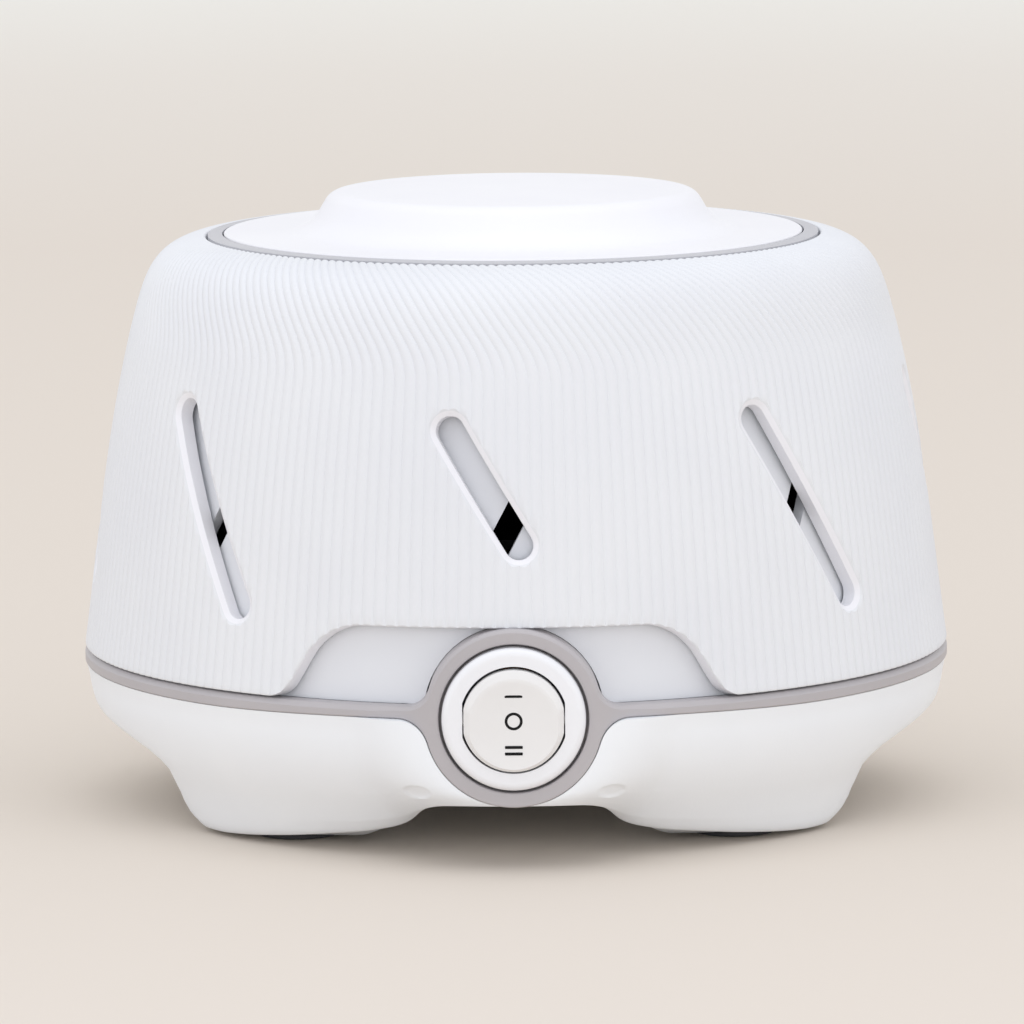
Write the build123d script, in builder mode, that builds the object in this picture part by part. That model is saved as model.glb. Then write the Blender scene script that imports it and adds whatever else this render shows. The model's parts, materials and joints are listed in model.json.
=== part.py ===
"""White noise sound machine: a fan in an acoustic drum, with a turning shell and cap that tune its sound.

Millimetres, +Z up, the front (the switch) towards -Y. The origin is on the table, under the middle of the
base.
Heights are measured from the table, radii from the fan's axis, and depths towards the front, along -Y.
"""

from build123d import *
import os
from math import asin, cos, degrees, hypot, radians, sin, sqrt, tan

os.makedirs("parts", exist_ok=True)

UP = (Align.CENTER, Align.CENTER, Align.MIN)
DOWN = (Align.CENTER, Align.CENTER, Align.MAX)

# ---------------------------------------------------------------- clearances
RUNNING = 0.3  # between pieces that move past each other
SHAFT_PLAY = 0.03  # radial, of the shaft in its bearings
PIVOT_PLAY = 0.05  # radial, of a pivot pin in its hole
PRESS = 0.01  # radial, between pressed or clamped pieces
LOCATING = 0.1  # between fixed pieces that locate each other

# ---------------------------------------------------------------- housing
BODY_R = 73.0  # over the shell's lower edge
SEAM_Z = 27.0  # shell's lower edge above the table
SHELL_H = 69.0  # shell's lower edge to the edge of its top opening
SHELL_WALL = 3.1
SHOULDER_DROP = 10.5  # from the opening's edge down to where the shoulder starts
SIDE_DRAW = 9.8  # how far the side draws in up to the shoulder
SIDE_BOW = 1.0  # bulge of the side beyond its chord
SHOULDER_R = 8.5
CROWN_SLOPE = 12.0  # degrees, fall of the crown towards the shoulder
OPENING_R = 51.7  # shell's top opening
FLANGE_IN = 1.3  # how far the shell's inner flange reaches into the opening
SLOT_MIDDLE = 28.95  # middle of the slots above the shell's lower edge

SLOT_COUNT = 8
SLOT_W = 4.2
SLOT_L = 38.2
SHORT_SLOT_L = 26.0  # the slot over the switch
SLOT_TILT = 28.3  # degrees from upright
SHELL_REST = -1.3  # degrees, how the shell stands turned from its middle position

CUTOUT_LOW_W = 70.7  # cut-out in the shell around the switch
CUTOUT_TOP_W = 56.5
CUTOUT_CORNER_R = 8.0
CUTOUT_CLEAR = 0.3  # over the bezel

DRUM_GAP = 0.7  # between shell and drum
DRUM_WALL = 2.1
DRUM_SLOT_W = 4.0

CROWN_Z = SEAM_Z + SHELL_H
SIDE_H = SHELL_H - SHOULDER_DROP
SLOT_Z = SEAM_Z + SLOT_MIDDLE
DRUM_INSET = SHELL_WALL + DRUM_GAP

# ---------------------------------------------------------------- top: ring, cap and shutter
RING_LIP_T = 1.5  # retaining ring's lip over the shell's flange
RING_W = 2.4  # of the ring's visible top, out from the cap's brim
RING_COLLAR_W = 7.1
RING_EDGE_RISE = 0.2  # inner edge over outer edge
RING_SCREWS = 4
RING_SCREW_SHANK_R = 1.1
RING_SCREW_HEAD_R = 2.0
RING_SCREW_HEAD_T = 1.2
GLIDE_T = 0.8
BRIM_T = 2.0
BRIM_RISE = 0.4  # brim over the crown's edge
HAT_R = 31.2  # raised middle of the cap, at its top
HAT_FOOT_R = 34.2
HAT_H = 7.1
HAT_TOP_ROUND = 4.5
HAT_FOOT_ROUND = 3.5
CAP_WALL = 2.0
CAP_TRAVEL = 22.5  # degrees each way
HUB_R = 5.0
HUB_BORE_R = 1.25
SHUTTER_T = 1.6
WINDOW_IN_R = 20.0  # sound windows in deck and shutter
WINDOW_EDGE = 5.0  # from the windows to the retaining ring
WINDOW_ANGLE = 22.0
PEG_R = 1.5  # stop peg under the shutter
PEG_CIRCLE_R = 14.0
WASHER_R = 9.0
WASHER_T = 0.8
CAP_SCREW_L = 10.0
DECK_T = 2.1

RING_LIP_Z = CROWN_Z - RING_LIP_T
FLANGE_TOP_Z = RING_LIP_Z - RUNNING
FLANGE_Z = CROWN_Z - SHELL_WALL / cos(radians(CROWN_SLOPE))  # underside of the crown at the opening
DECK_Z = FLANGE_Z - RUNNING - GLIDE_T  # top of the drum's deck
DECK_R = OPENING_R + (CROWN_Z - DECK_Z - DRUM_INSET / cos(radians(CROWN_SLOPE))) / tan(radians(CROWN_SLOPE))
BRIM_Z = CROWN_Z + BRIM_RISE
BRIM_UNDER_Z = BRIM_Z - BRIM_T
RING_R = OPENING_R - RUNNING
RING_INNER_R = RING_R - RING_W
BRIM_R = RING_INNER_R - RUNNING
COLLAR_R = OPENING_R - FLANGE_IN - RUNNING
RING_COLLAR_IN_R = COLLAR_R - RING_COLLAR_W
RING_SCREW_R = (COLLAR_R + RING_COLLAR_IN_R) / 2
WINDOW_OUT_R = RING_COLLAR_IN_R - WINDOW_EDGE
COLLAR_TOP_Z = BRIM_UNDER_Z - RUNNING
SHUTTER_Z = DECK_Z + RUNNING
HAT_TOP_Z = BRIM_Z + HAT_H

# ---------------------------------------------------------------- trim band, bezel and switch
TRIM_GAP = 0.4  # dark gap under the shell
TRIM_H = 2.3
TRIM_SEAT = 1.8  # how far the trim band reaches in under the drum's wall
TRIM_BEVEL = 0.4
BEZEL_R = 14.3
BEZEL_L = 10.0
BEZEL_PANEL_T = 2.0
BEZEL_RECESS = 1.2
FLARE_UPPER_R = 4.0  # fillets where the trim band flares out into the bezel
FLARE_LOWER_R = 5.0
NOTCH_GAP = 0.25  # thin gap round the bezel where it stands in front of the drum
SWITCH_DROP = 2.1  # switch's axis below the seam
SWITCH_HOLE_R = 10.1  # standard round panel hole
SWITCH_BARREL_R = 9.95
SWITCH_BARREL_L = 15.8
SWITCH_FLOOR_T = 2.0
SWITCH_FLANGE_R = 11.6
SWITCH_FLANGE_GAP = 0.5  # round the flange, in the bezel's recess
SWITCH_FLANGE_T = 2.4
OPENING_ROUND_R = 8.7
OPENING_FLAT = 8.25  # half the opening's width
ROCKER_R = 8.15
ROCKER_FLAT = 8.0  # half the rocker's width
ROCKER_RISE = 2.2  # face over its pivot axis
ROCKER_SKIRT = 3.0  # behind its pivot axis
ROCKER_BACK_R = 7.3
ROCKER_EDGE_R = 1.0
PIVOT_RISE = 0.6  # pivot axis in front of the panel
PIVOT_R = 1.2
PIVOT_REACH = 9.3
STEM_R = 2.4
STEM_L = 8.4
PLUNGER_R = 1.1
PLUNGER_L = 5.0
PLUNGER_OUT = 2.9  # beyond the stem
SPRING_WIRE = 0.35
SPRING_TURNS = 6
BLADE_T = 0.6
BLADE_W = 3.0
BLADE_L = 14.0
TERMINAL_T = 0.8
TERMINAL_W = 4.8
TERMINAL_PITCH = 6.0
TERMINAL_OUT = 8.0  # behind the switch

TRIM_TOP_Z = SEAM_Z - TRIM_GAP
TRIM_Z = TRIM_TOP_Z - TRIM_H
TRIM_IN_R = BODY_R - DRUM_INSET - TRIM_SEAT
SWITCH_Z = SEAM_Z - SWITCH_DROP
CUTOUT_H = BEZEL_R - SWITCH_DROP + CUTOUT_CLEAR
BEZEL_FRONT = BODY_R  # depth of the bezel's face
BEZEL_BACK = BEZEL_FRONT - BEZEL_L
BEZEL_CUP_R = SWITCH_FLANGE_R + SWITCH_FLANGE_GAP
PANEL_FRONT = BEZEL_FRONT - BEZEL_RECESS
PANEL_BACK = PANEL_FRONT - BEZEL_PANEL_T
SWITCH_BACK = PANEL_FRONT - SWITCH_BARREL_L
ROCKER_PIVOT = PANEL_FRONT + PIVOT_RISE
ROCKER_FACE = ROCKER_PIVOT + ROCKER_RISE
ROCKER_BACK = ROCKER_PIVOT - ROCKER_SKIRT
STEM_END = ROCKER_PIVOT - STEM_L
PLUNGER_TIP = STEM_END - PLUNGER_OUT
PLUNGER_BACK = PLUNGER_TIP + PLUNGER_L
BLADE_FACE = PLUNGER_TIP - RUNNING
BLADE_BACK = BLADE_FACE - BLADE_T
TERMINAL_END = SWITCH_BACK - TERMINAL_OUT

# ---------------------------------------------------------------- base and feet
BASE_WALL = 2.5
BASE_R = BODY_R - TRIM_BEVEL  # under the trim band
BOWL_FLOOR_R = 61.0
BOWL_BULGE = 3.4
ARCH_Z = 8.7  # underside of the base between the feet
ARCH_TOP_W = 29.0
ARCH_FOOT_W = 54.0
ARCH_ROUND = 5.0
FOOT_Z = 0.6
FOOT_R = 62.2
FOOT_SIDE_Z = 7.0
FOOT_TOP_R = 66.0
FOOT_TOP_Z = 12.0
FOOT_EDGE_R = 3.6
PAD_CIRCLE_R = 51.0
PAD_R = 7.0
PAD_T = 1.8
BOSS_R = 5.2
BOSS_DROP = 10.0  # top of the screw bosses below the seam
POCKET_R = 8.5
SCREW_R = 1.5  # M3 self-tapping screws
SCREW_HEAD_R = 3.2
SCREW_HEAD_T = 2.0
SCREW_SEAT_Z = 5.0
DRUM_POST_R = 4.0
DRUM_POST_H = 14.0
WEB_T = 2.4
SPIGOT_H = 4.6  # drum's locating rim inside the base
SWITCH_BOSS_WALL = 1.2
GLAND_Z = 16.5
GLAND_R = 5.2
GLAND_FLANGE_R = 6.8
GLAND_BORE_R = 3.3
GLAND_BOSS_R = 7.5
GLAND_BOSS_L = 11.5
GLAND_SET_IN = 1.5  # boss's face inside the body's radius

FLOOR_Z = ARCH_Z + BASE_WALL
BOSS_TOP_Z = SEAM_Z - BOSS_DROP
GLAND_FACE = ROCKER_FACE  # the gland stands out at the back as far as the rocker does at the front
GLAND_BOSS_FACE = BODY_R - GLAND_SET_IN
GLAND_BACK = GLAND_BOSS_FACE - GLAND_BOSS_L

# ---------------------------------------------------------------- motor and fan
SHAFT_R = 1.5875
BEARING_R = 3.5
BEARING_L = 6.0
PLATE_Z = 22.5
PLATE_T = 1.5
PLATE_W = 76.0
PLATE_BACK = 15.0
PLATE_FRONT = 19.0
PLATE_WINDOW_W = 30.0
PLATE_WINDOW_D = 24.0
POST_X = 32.0
POST_BACK = 10.0
POST_FRONT = 14.0
POST_R = 3.5
GROMMET_R = 5.0
GROMMET_NECK_R = 3.2
GROMMET_FLANGE_T = 2.6
STACK_H = 14.0
STACK_W = 44.0
STACK_FRONT = 15.0
STACK_BACK = 31.0
LEG_D = 7.0  # depth of the stator's leg that carries the coil
COIL_WINDOW_W = 26.0
COIL_WINDOW_FRONT = 15.5
BORE_R = 10.6
AIR_GAP = 0.5
END_RING_R = 9.5
END_RING_T = 1.4
SHADE_IN = 9.0  # inner and outer bar of a shading ring, from the middle
SHADE_OUT = 13.0
SHADE_Y = 9.0
SHADE_BAR = 1.6
BOLT_X = 18.5
NUT_R = 2.75
NUT_T = 2.2
BRACKET_T = 1.5
BRACKET_W = 12.0
BRACKET_RISE = 5.0
BRACKET_LEG_X = 15.0
BRACKET_FOOT = 6.5
COIL_BUILD = 5.5
BOBBIN_T = 1.0
FUSE_R = 1.6
FUSE_L = 9.0
FAN_R = 50.0
FAN_DROP = 6.95  # underside of the fan below the slots' middle
FAN_DISC_T = 1.6
FAN_BLADE_H = 21.0
FAN_RIM_W = 6.0
FAN_RIM_T = 1.6
FAN_BLADES = 9
FAN_BLADE_T = 1.4
FAN_BLADE_IN_R = 24.0
FAN_BLADE_LEAN = 12.0  # degrees off radial
FAN_UNEVEN = 3.0  # degrees that alternate blades stand off even spacing, so that no single note sounds
FAN_HUB_R = 5.0
FAN_HUB_UP = 12.0
FAN_HUB_DOWN = 1.5
CLIP_T = 1.0
CLIP_H = 3.0
BLOCK_W = 22.0  # terminal block
BLOCK_D = 10.0
BLOCK_H = 9.0
BLOCK_BACK = 57.0
BLOCK_SCREW_R = 1.8
LEAD_R = 0.9
LEAD_BEND = 2.0

STACK_Z = PLATE_Z + PLATE_T
STACK_TOP_Z = STACK_Z + STACK_H
POST_TOP_Z = PLATE_Z - GROMMET_FLANGE_T
GROMMET_TOP_Z = PLATE_Z + PLATE_T + GROMMET_FLANGE_T
LEG_FRONT = STACK_BACK - LEG_D
LEG_MIDDLE = (STACK_BACK + LEG_FRONT) / 2
UPPER_BRIDGE_Z = STACK_TOP_Z + BRACKET_RISE
LOWER_BRIDGE_Z = PLATE_Z - BRACKET_RISE - BRACKET_T
FAN_Z = SLOT_Z - FAN_DROP

# ---------------------------------------------------------------- shared shapes
def section(*corners):
    """Half section of a turned piece, from its corners as (radius, height)."""
    with BuildSketch(Plane.XZ) as half:
        with BuildLine():
            Polyline(*corners, close=True)
        make_face()
    return half.sketch


def ring(inner, outer, low, high):
    """Half section of a plain ring."""
    return section((inner, low), (outer, low), (outer, high), (inner, high))


def crown_height(radius, inset):
    """Height of the crown's line at a radius, drawn in by inset."""
    slope = radians(CROWN_SLOPE)
    return CROWN_Z - (radius - OPENING_R) * tan(slope) - inset / cos(slope)


def housing_section(inset, low):
    """Half section inside the housing's outline, drawn in by inset, from the height low to the crown."""
    chord = hypot(SIDE_H, SIDE_DRAW)
    arc_r = chord**2 / (8 * SIDE_BOW) + SIDE_BOW / 2
    centre_x = BODY_R - SIDE_DRAW / 2 + (SIDE_BOW - arc_r) * SIDE_H / chord
    centre_z = SEAM_Z + SIDE_H / 2 + (SIDE_BOW - arc_r) * SIDE_DRAW / chord
    beyond = BODY_R + 5
    with BuildSketch(Plane.XZ) as half:
        with Locations((centre_x, centre_z)):
            Circle(arc_r - inset)
        with BuildLine():
            Polyline(
                (0, low),
                (beyond, low),
                (beyond, crown_height(beyond, inset)),
                (0, crown_height(0, inset)),
                close=True,
            )
        make_face(mode=Mode.INTERSECT)
        shoulder = half.vertices().filter_by(lambda v: v.X > OPENING_R).sort_by(Axis.Y)[-1]
        fillet(shoulder, SHOULDER_R - inset)
    return half.sketch


def bowl_section(inset):
    """Half section inside the base's bowl, drawn in by inset, from its floor up to its rim."""
    floor_r = BOWL_FLOOR_R - inset
    floor_z = ARCH_Z + inset
    rim_r = BASE_R - inset
    chord = hypot(rim_r - floor_r, TRIM_Z - floor_z)
    middle_r = (rim_r + floor_r) / 2 + BOWL_BULGE * (TRIM_Z - floor_z) / chord
    middle_z = (TRIM_Z + floor_z) / 2 - BOWL_BULGE * (rim_r - floor_r) / chord
    with BuildSketch(Plane.XZ) as half:
        with BuildLine():
            Line((0, floor_z), (floor_r, floor_z))
            ThreePointArc((floor_r, floor_z), (middle_r, middle_z), (rim_r, TRIM_Z))
            Polyline((rim_r, TRIM_Z), (0, TRIM_Z), (0, floor_z))
        make_face()
    return half.sketch


def facing(azimuth, out, height):
    """Plane whose normal points out from the axis, azimuth degrees from the front towards +X."""
    turn = radians(azimuth)
    outward = Vector(sin(turn), -cos(turn), 0)
    return Plane(
        origin=(outward.X * out, outward.Y * out, height),
        x_dir=(cos(turn), sin(turn), 0),
        z_dir=outward,
    )


def front(depth):
    """Plane facing the front on the switch's axis, at this depth."""
    return facing(0, depth, SWITCH_Z)


def sector(inner, outer, half_angle, middle, height):
    """Sector of a ring on a level plane, half_angle degrees to each side of its middle."""
    reach = outer / cos(radians(half_angle)) + 1
    with BuildSketch(Plane.XY.offset(height)) as piece:
        with BuildLine():
            Polyline(
                (0, 0),
                (reach * cos(radians(middle - half_angle)), reach * sin(radians(middle - half_angle))),
                (reach * cos(radians(middle + half_angle)), reach * sin(radians(middle + half_angle))),
                close=True,
            )
        make_face()
        Circle(outer, mode=Mode.INTERSECT)
        Circle(inner, mode=Mode.SUBTRACT)
    return piece.sketch


def slot_at(azimuth, tilt, length, width):
    """Slanted slot on a plane that faces out at azimuth, with the slots' common top end."""
    lift = (SLOT_L - length) / 2
    with BuildSketch(facing(azimuth, BODY_R - 25, SLOT_Z)) as opening:
        with Locations((-lift * sin(radians(tilt)), lift * cos(radians(tilt)))):
            SlotOverall(length, width, rotation=90 + tilt)
    return opening.sketch


# ---------------------------------------------------------------- base shell
def pad_places(height):
    """The four feet's places, at this height."""
    corner = PAD_CIRCLE_R * sqrt(0.5)
    return Locations(*[(x, y, height) for x in (-corner, corner) for y in (-corner, corner)])


def post_places(height):
    """The four motor posts' places, at this height."""
    return Locations(*[(x, y, height) for x in (-POST_X, POST_X) for y in (-POST_FRONT, POST_BACK)])


with BuildPart() as front_boss:
    with BuildSketch(front(BEZEL_BACK)):
        Circle(BEZEL_R + SWITCH_BOSS_WALL)
        with Locations((0, TRIM_Z - SWITCH_Z)):
            above = (Align.CENTER, Align.MIN)
            Rectangle(4 * BEZEL_R, 4 * BEZEL_R, align=above, mode=Mode.SUBTRACT)
    extrude(amount=BASE_R - BEZEL_BACK)

with BuildPart() as gland_boss:
    with BuildSketch(facing(180, GLAND_BACK, GLAND_Z)):
        Circle(GLAND_BOSS_R)
    extrude(amount=GLAND_BOSS_FACE - GLAND_BACK)

with BuildPart() as trim_flares:
    with BuildSketch(front(BEZEL_BACK)) as flare_face:
        Circle(BEZEL_R)
        with Locations((0, TRIM_Z - SWITCH_Z)):
            Rectangle(4 * BEZEL_R, TRIM_H, align=(Align.CENTER, Align.MIN))
        inner_corners = flare_face.vertices().filter_by(lambda v: abs(v.X) < 1.5 * BEZEL_R)
        fillet(inner_corners.filter_by(lambda v: v.Y > 1), FLARE_UPPER_R)
        inner_corners = flare_face.vertices().filter_by(lambda v: abs(v.X) < 1.5 * BEZEL_R)
        fillet(inner_corners.filter_by(lambda v: v.Y < 1), FLARE_LOWER_R)
    extrude(amount=BODY_R - BEZEL_BACK)
    revolve(ring(BASE_R - BASE_WALL, BODY_R, 0, SEAM_Z + BEZEL_R), axis=Axis.Z, mode=Mode.INTERSECT)

with BuildPart() as bowl_room:
    revolve(bowl_section(BASE_WALL), axis=Axis.Z)
    add(front_boss.part, mode=Mode.SUBTRACT)
    add(gland_boss.part, mode=Mode.SUBTRACT)

with BuildPart() as base_shell:
    with BuildSketch(Plane.XZ) as feet_half:
        with BuildLine():
            Polyline(
                (0, FOOT_Z),
                (FOOT_R, FOOT_Z),
                (FOOT_R, FOOT_SIDE_Z),
                (FOOT_TOP_R, FOOT_TOP_Z),
                (0, FOOT_TOP_Z),
                close=True,
            )
        make_face()
        foot_corner = feet_half.vertices().filter_by(lambda v: v.X > 1).sort_by(Axis.Y)[0]
        fillet(foot_corner, FOOT_EDGE_R)
    revolve(axis=Axis.Z)
    for azimuth in (0, 90):
        with BuildSketch(facing(azimuth, 0, 0)) as arch:
            with BuildLine():
                Polyline(
                    (-ARCH_FOOT_W / 2, FOOT_Z - 1),
                    (ARCH_FOOT_W / 2, FOOT_Z - 1),
                    (ARCH_TOP_W / 2, ARCH_Z),
                    (-ARCH_TOP_W / 2, ARCH_Z),
                    close=True,
                )
            make_face()
            fillet(arch.vertices().group_by(Axis.Y)[-1], ARCH_ROUND)
        extrude(amount=BODY_R, both=True, mode=Mode.SUBTRACT)
    revolve(bowl_section(0), axis=Axis.Z)
    add(front_boss.part)
    add(gland_boss.part)
    add(bowl_room.part, mode=Mode.SUBTRACT)
    # pockets in the feet, with the screw bosses standing in them
    with pad_places(FOOT_Z + BASE_WALL):
        Cylinder(POCKET_R, FLOOR_Z - FOOT_Z, align=UP, mode=Mode.SUBTRACT)
        Cylinder(BOSS_R, BOSS_TOP_Z - FOOT_Z - BASE_WALL, align=UP)
    with pad_places(0):
        Cylinder(SCREW_R + RUNNING, BOSS_TOP_Z, align=UP, mode=Mode.SUBTRACT)
        Cylinder(SCREW_HEAD_R + RUNNING, SCREW_SEAT_Z, align=UP, mode=Mode.SUBTRACT)
        Cylinder(PAD_R + LOCATING, PAD_T, align=UP, mode=Mode.SUBTRACT)
    # motor posts
    with post_places(FLOOR_Z):
        Cylinder(POST_R, POST_TOP_Z - FLOOR_Z, align=UP)
        Cylinder(SCREW_R + PRESS, POST_TOP_Z - FLOOR_Z, align=UP, mode=Mode.SUBTRACT)
    # seats of the bezel and the cord gland
    with BuildSketch(front(SWITCH_BACK)):
        Circle(BEZEL_R + LOCATING)
    extrude(amount=BODY_R, mode=Mode.SUBTRACT)
    add(trim_flares.part, mode=Mode.SUBTRACT)
    with BuildSketch(facing(180, SWITCH_BACK, GLAND_Z)):
        Circle(GLAND_R + PRESS)
    extrude(amount=BODY_R, mode=Mode.SUBTRACT)
    with BuildSketch(facing(180, GLAND_BOSS_FACE, GLAND_Z)):
        Circle(GLAND_FLANGE_R + LOCATING)
    extrude(amount=GLAND_BOSS_L, mode=Mode.SUBTRACT)
base_shell.part.label = "base_shell"
export_step(base_shell.part, "parts/base_shell.step")

# ---------------------------------------------------------------- foot pads and base screws
foot_names = {45: "rear_right", 135: "rear_left", 225: "front_left", 315: "front_right"}
for angle, place in foot_names.items():
    with BuildPart() as foot_pad:
        with PolarLocations(PAD_CIRCLE_R, 1, start_angle=angle):
            Cylinder(PAD_R, PAD_T, align=UP)
        fillet(foot_pad.edges().group_by(Axis.Z)[0], FOOT_Z / 2)
    foot_pad.part.label = f"foot_pad_{place}"
    export_step(foot_pad.part, f"parts/foot_pad_{place}.step")

with BuildPart() as base_screws:
    with pad_places(SCREW_SEAT_Z):
        Cylinder(SCREW_HEAD_R, SCREW_HEAD_T, align=DOWN)
        Cylinder(SCREW_R, BOSS_TOP_Z + DRUM_POST_H - 4 - SCREW_SEAT_Z, align=UP)
base_screws.part.label = "base_screws"
export_step(base_screws.part, "parts/base_screws.step")

# ---------------------------------------------------------------- trim band with the switch's bezel
with BuildPart() as trim_band:
    trim_half = section(
        (TRIM_IN_R, TRIM_Z),
        (BASE_R, TRIM_Z),
        (BODY_R, TRIM_Z + TRIM_BEVEL),
        (BODY_R, TRIM_TOP_Z - TRIM_BEVEL),
        (BODY_R - TRIM_BEVEL, TRIM_TOP_Z),
        (TRIM_IN_R, TRIM_TOP_Z),
    )
    revolve(trim_half, axis=Axis.Z)
    add(trim_flares.part)
    with BuildSketch(front(BEZEL_BACK)):
        Circle(BEZEL_R)
    extrude(amount=BEZEL_FRONT - BEZEL_BACK)
    with BuildSketch(front(PANEL_FRONT)):
        Circle(BEZEL_CUP_R)
    extrude(amount=BEZEL_RECESS, mode=Mode.SUBTRACT)
    with BuildSketch(front(SWITCH_BACK)):
        Circle(BEZEL_CUP_R)
    extrude(amount=PANEL_BACK - SWITCH_BACK, mode=Mode.SUBTRACT)
    with BuildSketch(front(PANEL_BACK)):
        Circle(SWITCH_HOLE_R)
    extrude(amount=BEZEL_PANEL_T, mode=Mode.SUBTRACT)
trim_band.part.label = "trim_band"
export_step(trim_band.part, "parts/trim_band.step")

# ---------------------------------------------------------------- switch
SWITCH_AXIS = Axis((0, 0, SWITCH_Z), (0, -1, 0))
SWITCH_HALF = Plane(origin=(0, 0, SWITCH_Z), x_dir=(1, 0, 0), z_dir=(0, 0, -1))  # local Y is the depth
PIVOT_PLANE = Plane(origin=(0, -ROCKER_PIVOT, SWITCH_Z), x_dir=(0, 1, 0), z_dir=(1, 0, 0))

with BuildPart() as switch_body:
    with BuildSketch(SWITCH_HALF) as body_half:
        with BuildLine():
            Polyline(
                (0, SWITCH_BACK),
                (SWITCH_BARREL_R, SWITCH_BACK),
                (SWITCH_BARREL_R, PANEL_FRONT),
                (SWITCH_FLANGE_R, PANEL_FRONT),
                (SWITCH_FLANGE_R, PANEL_FRONT + SWITCH_FLANGE_T),
                (0, PANEL_FRONT + SWITCH_FLANGE_T),
                close=True,
            )
        make_face()
        fillet(body_half.vertices().filter_by(lambda v: v.X > 1).sort_by(Axis.Y)[-1], SWITCH_FLANGE_T / 2)
    revolve(axis=SWITCH_AXIS)
    with BuildSketch(front(SWITCH_BACK + SWITCH_FLOOR_T)):
        Circle(OPENING_ROUND_R)
        Rectangle(2 * OPENING_FLAT, 2 * OPENING_ROUND_R, mode=Mode.INTERSECT)
    extrude(amount=BODY_R - SWITCH_BACK, mode=Mode.SUBTRACT)
    with BuildSketch(PIVOT_PLANE):
        Circle(PIVOT_R + PIVOT_PLAY)
    extrude(amount=PIVOT_REACH + RUNNING, both=True, mode=Mode.SUBTRACT)
    with BuildSketch(front(SWITCH_BACK)):
        with GridLocations(TERMINAL_PITCH, TERMINAL_PITCH, 1, 3):
            Rectangle(TERMINAL_W + 2 * PRESS, TERMINAL_T + 2 * PRESS)
    extrude(amount=SWITCH_FLOOR_T, mode=Mode.SUBTRACT)
switch_body.part.label = "switch_body"
export_step(switch_body.part, "parts/switch_body.step")

with BuildPart() as switch_rocker:
    with BuildSketch(SWITCH_HALF) as rocker_half:
        with BuildLine():
            Polyline(
                (0, ROCKER_BACK),
                (ROCKER_BACK_R, ROCKER_BACK),
                (ROCKER_R, ROCKER_PIVOT),
                (ROCKER_R, ROCKER_FACE),
                (0, ROCKER_FACE),
                close=True,
            )
        make_face()
        fillet(rocker_half.vertices().filter_by(lambda v: v.X > 1).sort_by(Axis.Y)[-1], ROCKER_EDGE_R)
    revolve(axis=SWITCH_AXIS)
    with BuildSketch(front(STEM_END)):
        Rectangle(2 * ROCKER_FLAT, 2 * ROCKER_R)
    extrude(amount=ROCKER_FACE - STEM_END, mode=Mode.INTERSECT)
    with BuildSketch(PIVOT_PLANE):
        Circle(PIVOT_R)
    extrude(amount=PIVOT_REACH, both=True)
    with BuildSketch(front(STEM_END)):
        Circle(STEM_R)
    extrude(amount=ROCKER_PIVOT - STEM_END)
    with BuildSketch(front(STEM_END)):
        Circle(PLUNGER_R + PIVOT_PLAY)
    extrude(amount=ROCKER_PIVOT - STEM_END, mode=Mode.SUBTRACT)
switch_rocker.part.label = "switch_rocker"
export_step(switch_rocker.part, "parts/switch_rocker.step")

with BuildPart() as switch_plunger:
    with BuildSketch(SWITCH_HALF) as plunger_half:
        with BuildLine():
            Polyline(
                (0, PLUNGER_TIP),
                (PLUNGER_R, PLUNGER_TIP),
                (PLUNGER_R, PLUNGER_TIP + PLUNGER_L),
                (0, PLUNGER_TIP + PLUNGER_L),
                close=True,
            )
        make_face()
        fillet(plunger_half.vertices().filter_by(lambda v: v.X > 1).sort_by(Axis.Y)[0], PLUNGER_R * 0.8)
    revolve(axis=SWITCH_AXIS)
switch_plunger.part.label = "switch_plunger"
export_step(switch_plunger.part, "parts/switch_plunger.step")

spring_pitch = (ROCKER_PIVOT - PLUNGER_BACK - SPRING_WIRE - 2 * PRESS) / SPRING_TURNS
with BuildPart() as plunger_spring:
    with BuildLine() as coils:
        spring_seat = (0, -(PLUNGER_BACK + PRESS + SPRING_WIRE / 2), SWITCH_Z)
        coil_r = PLUNGER_R - SPRING_WIRE / 2
        Helix(spring_pitch, spring_pitch * SPRING_TURNS, coil_r, spring_seat, (0, -1, 0))
    with BuildSketch(Plane(origin=coils.line @ 0, z_dir=coils.line % 0)):
        Circle(SPRING_WIRE / 2)
    sweep(path=coils.line, is_frenet=True)
plunger_spring.part.label = "plunger_spring"
export_step(plunger_spring.part, "parts/plunger_spring.step")

with BuildPart() as contact_blade:
    with BuildSketch(front(BLADE_BACK)):
        SlotOverall(BLADE_L, BLADE_W, rotation=90)
    extrude(amount=BLADE_T)
contact_blade.part.label = "contact_blade"
export_step(contact_blade.part, "parts/contact_blade.step")

with BuildPart() as switch_terminals:
    with BuildSketch(front(TERMINAL_END)):
        with GridLocations(TERMINAL_PITCH, TERMINAL_PITCH, 1, 3):
            Rectangle(TERMINAL_W, TERMINAL_T)
    extrude(amount=BLADE_BACK - RUNNING - TERMINAL_END)
switch_terminals.part.label = "switch_terminals"
export_step(switch_terminals.part, "parts/switch_terminals.step")

# ---------------------------------------------------------------- acoustic drum
window_places = [index * 360 / SLOT_COUNT for index in range(SLOT_COUNT)]
stop_angle = CAP_TRAVEL + degrees(asin((PEG_R + RUNNING) / PEG_CIRCLE_R))

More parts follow.
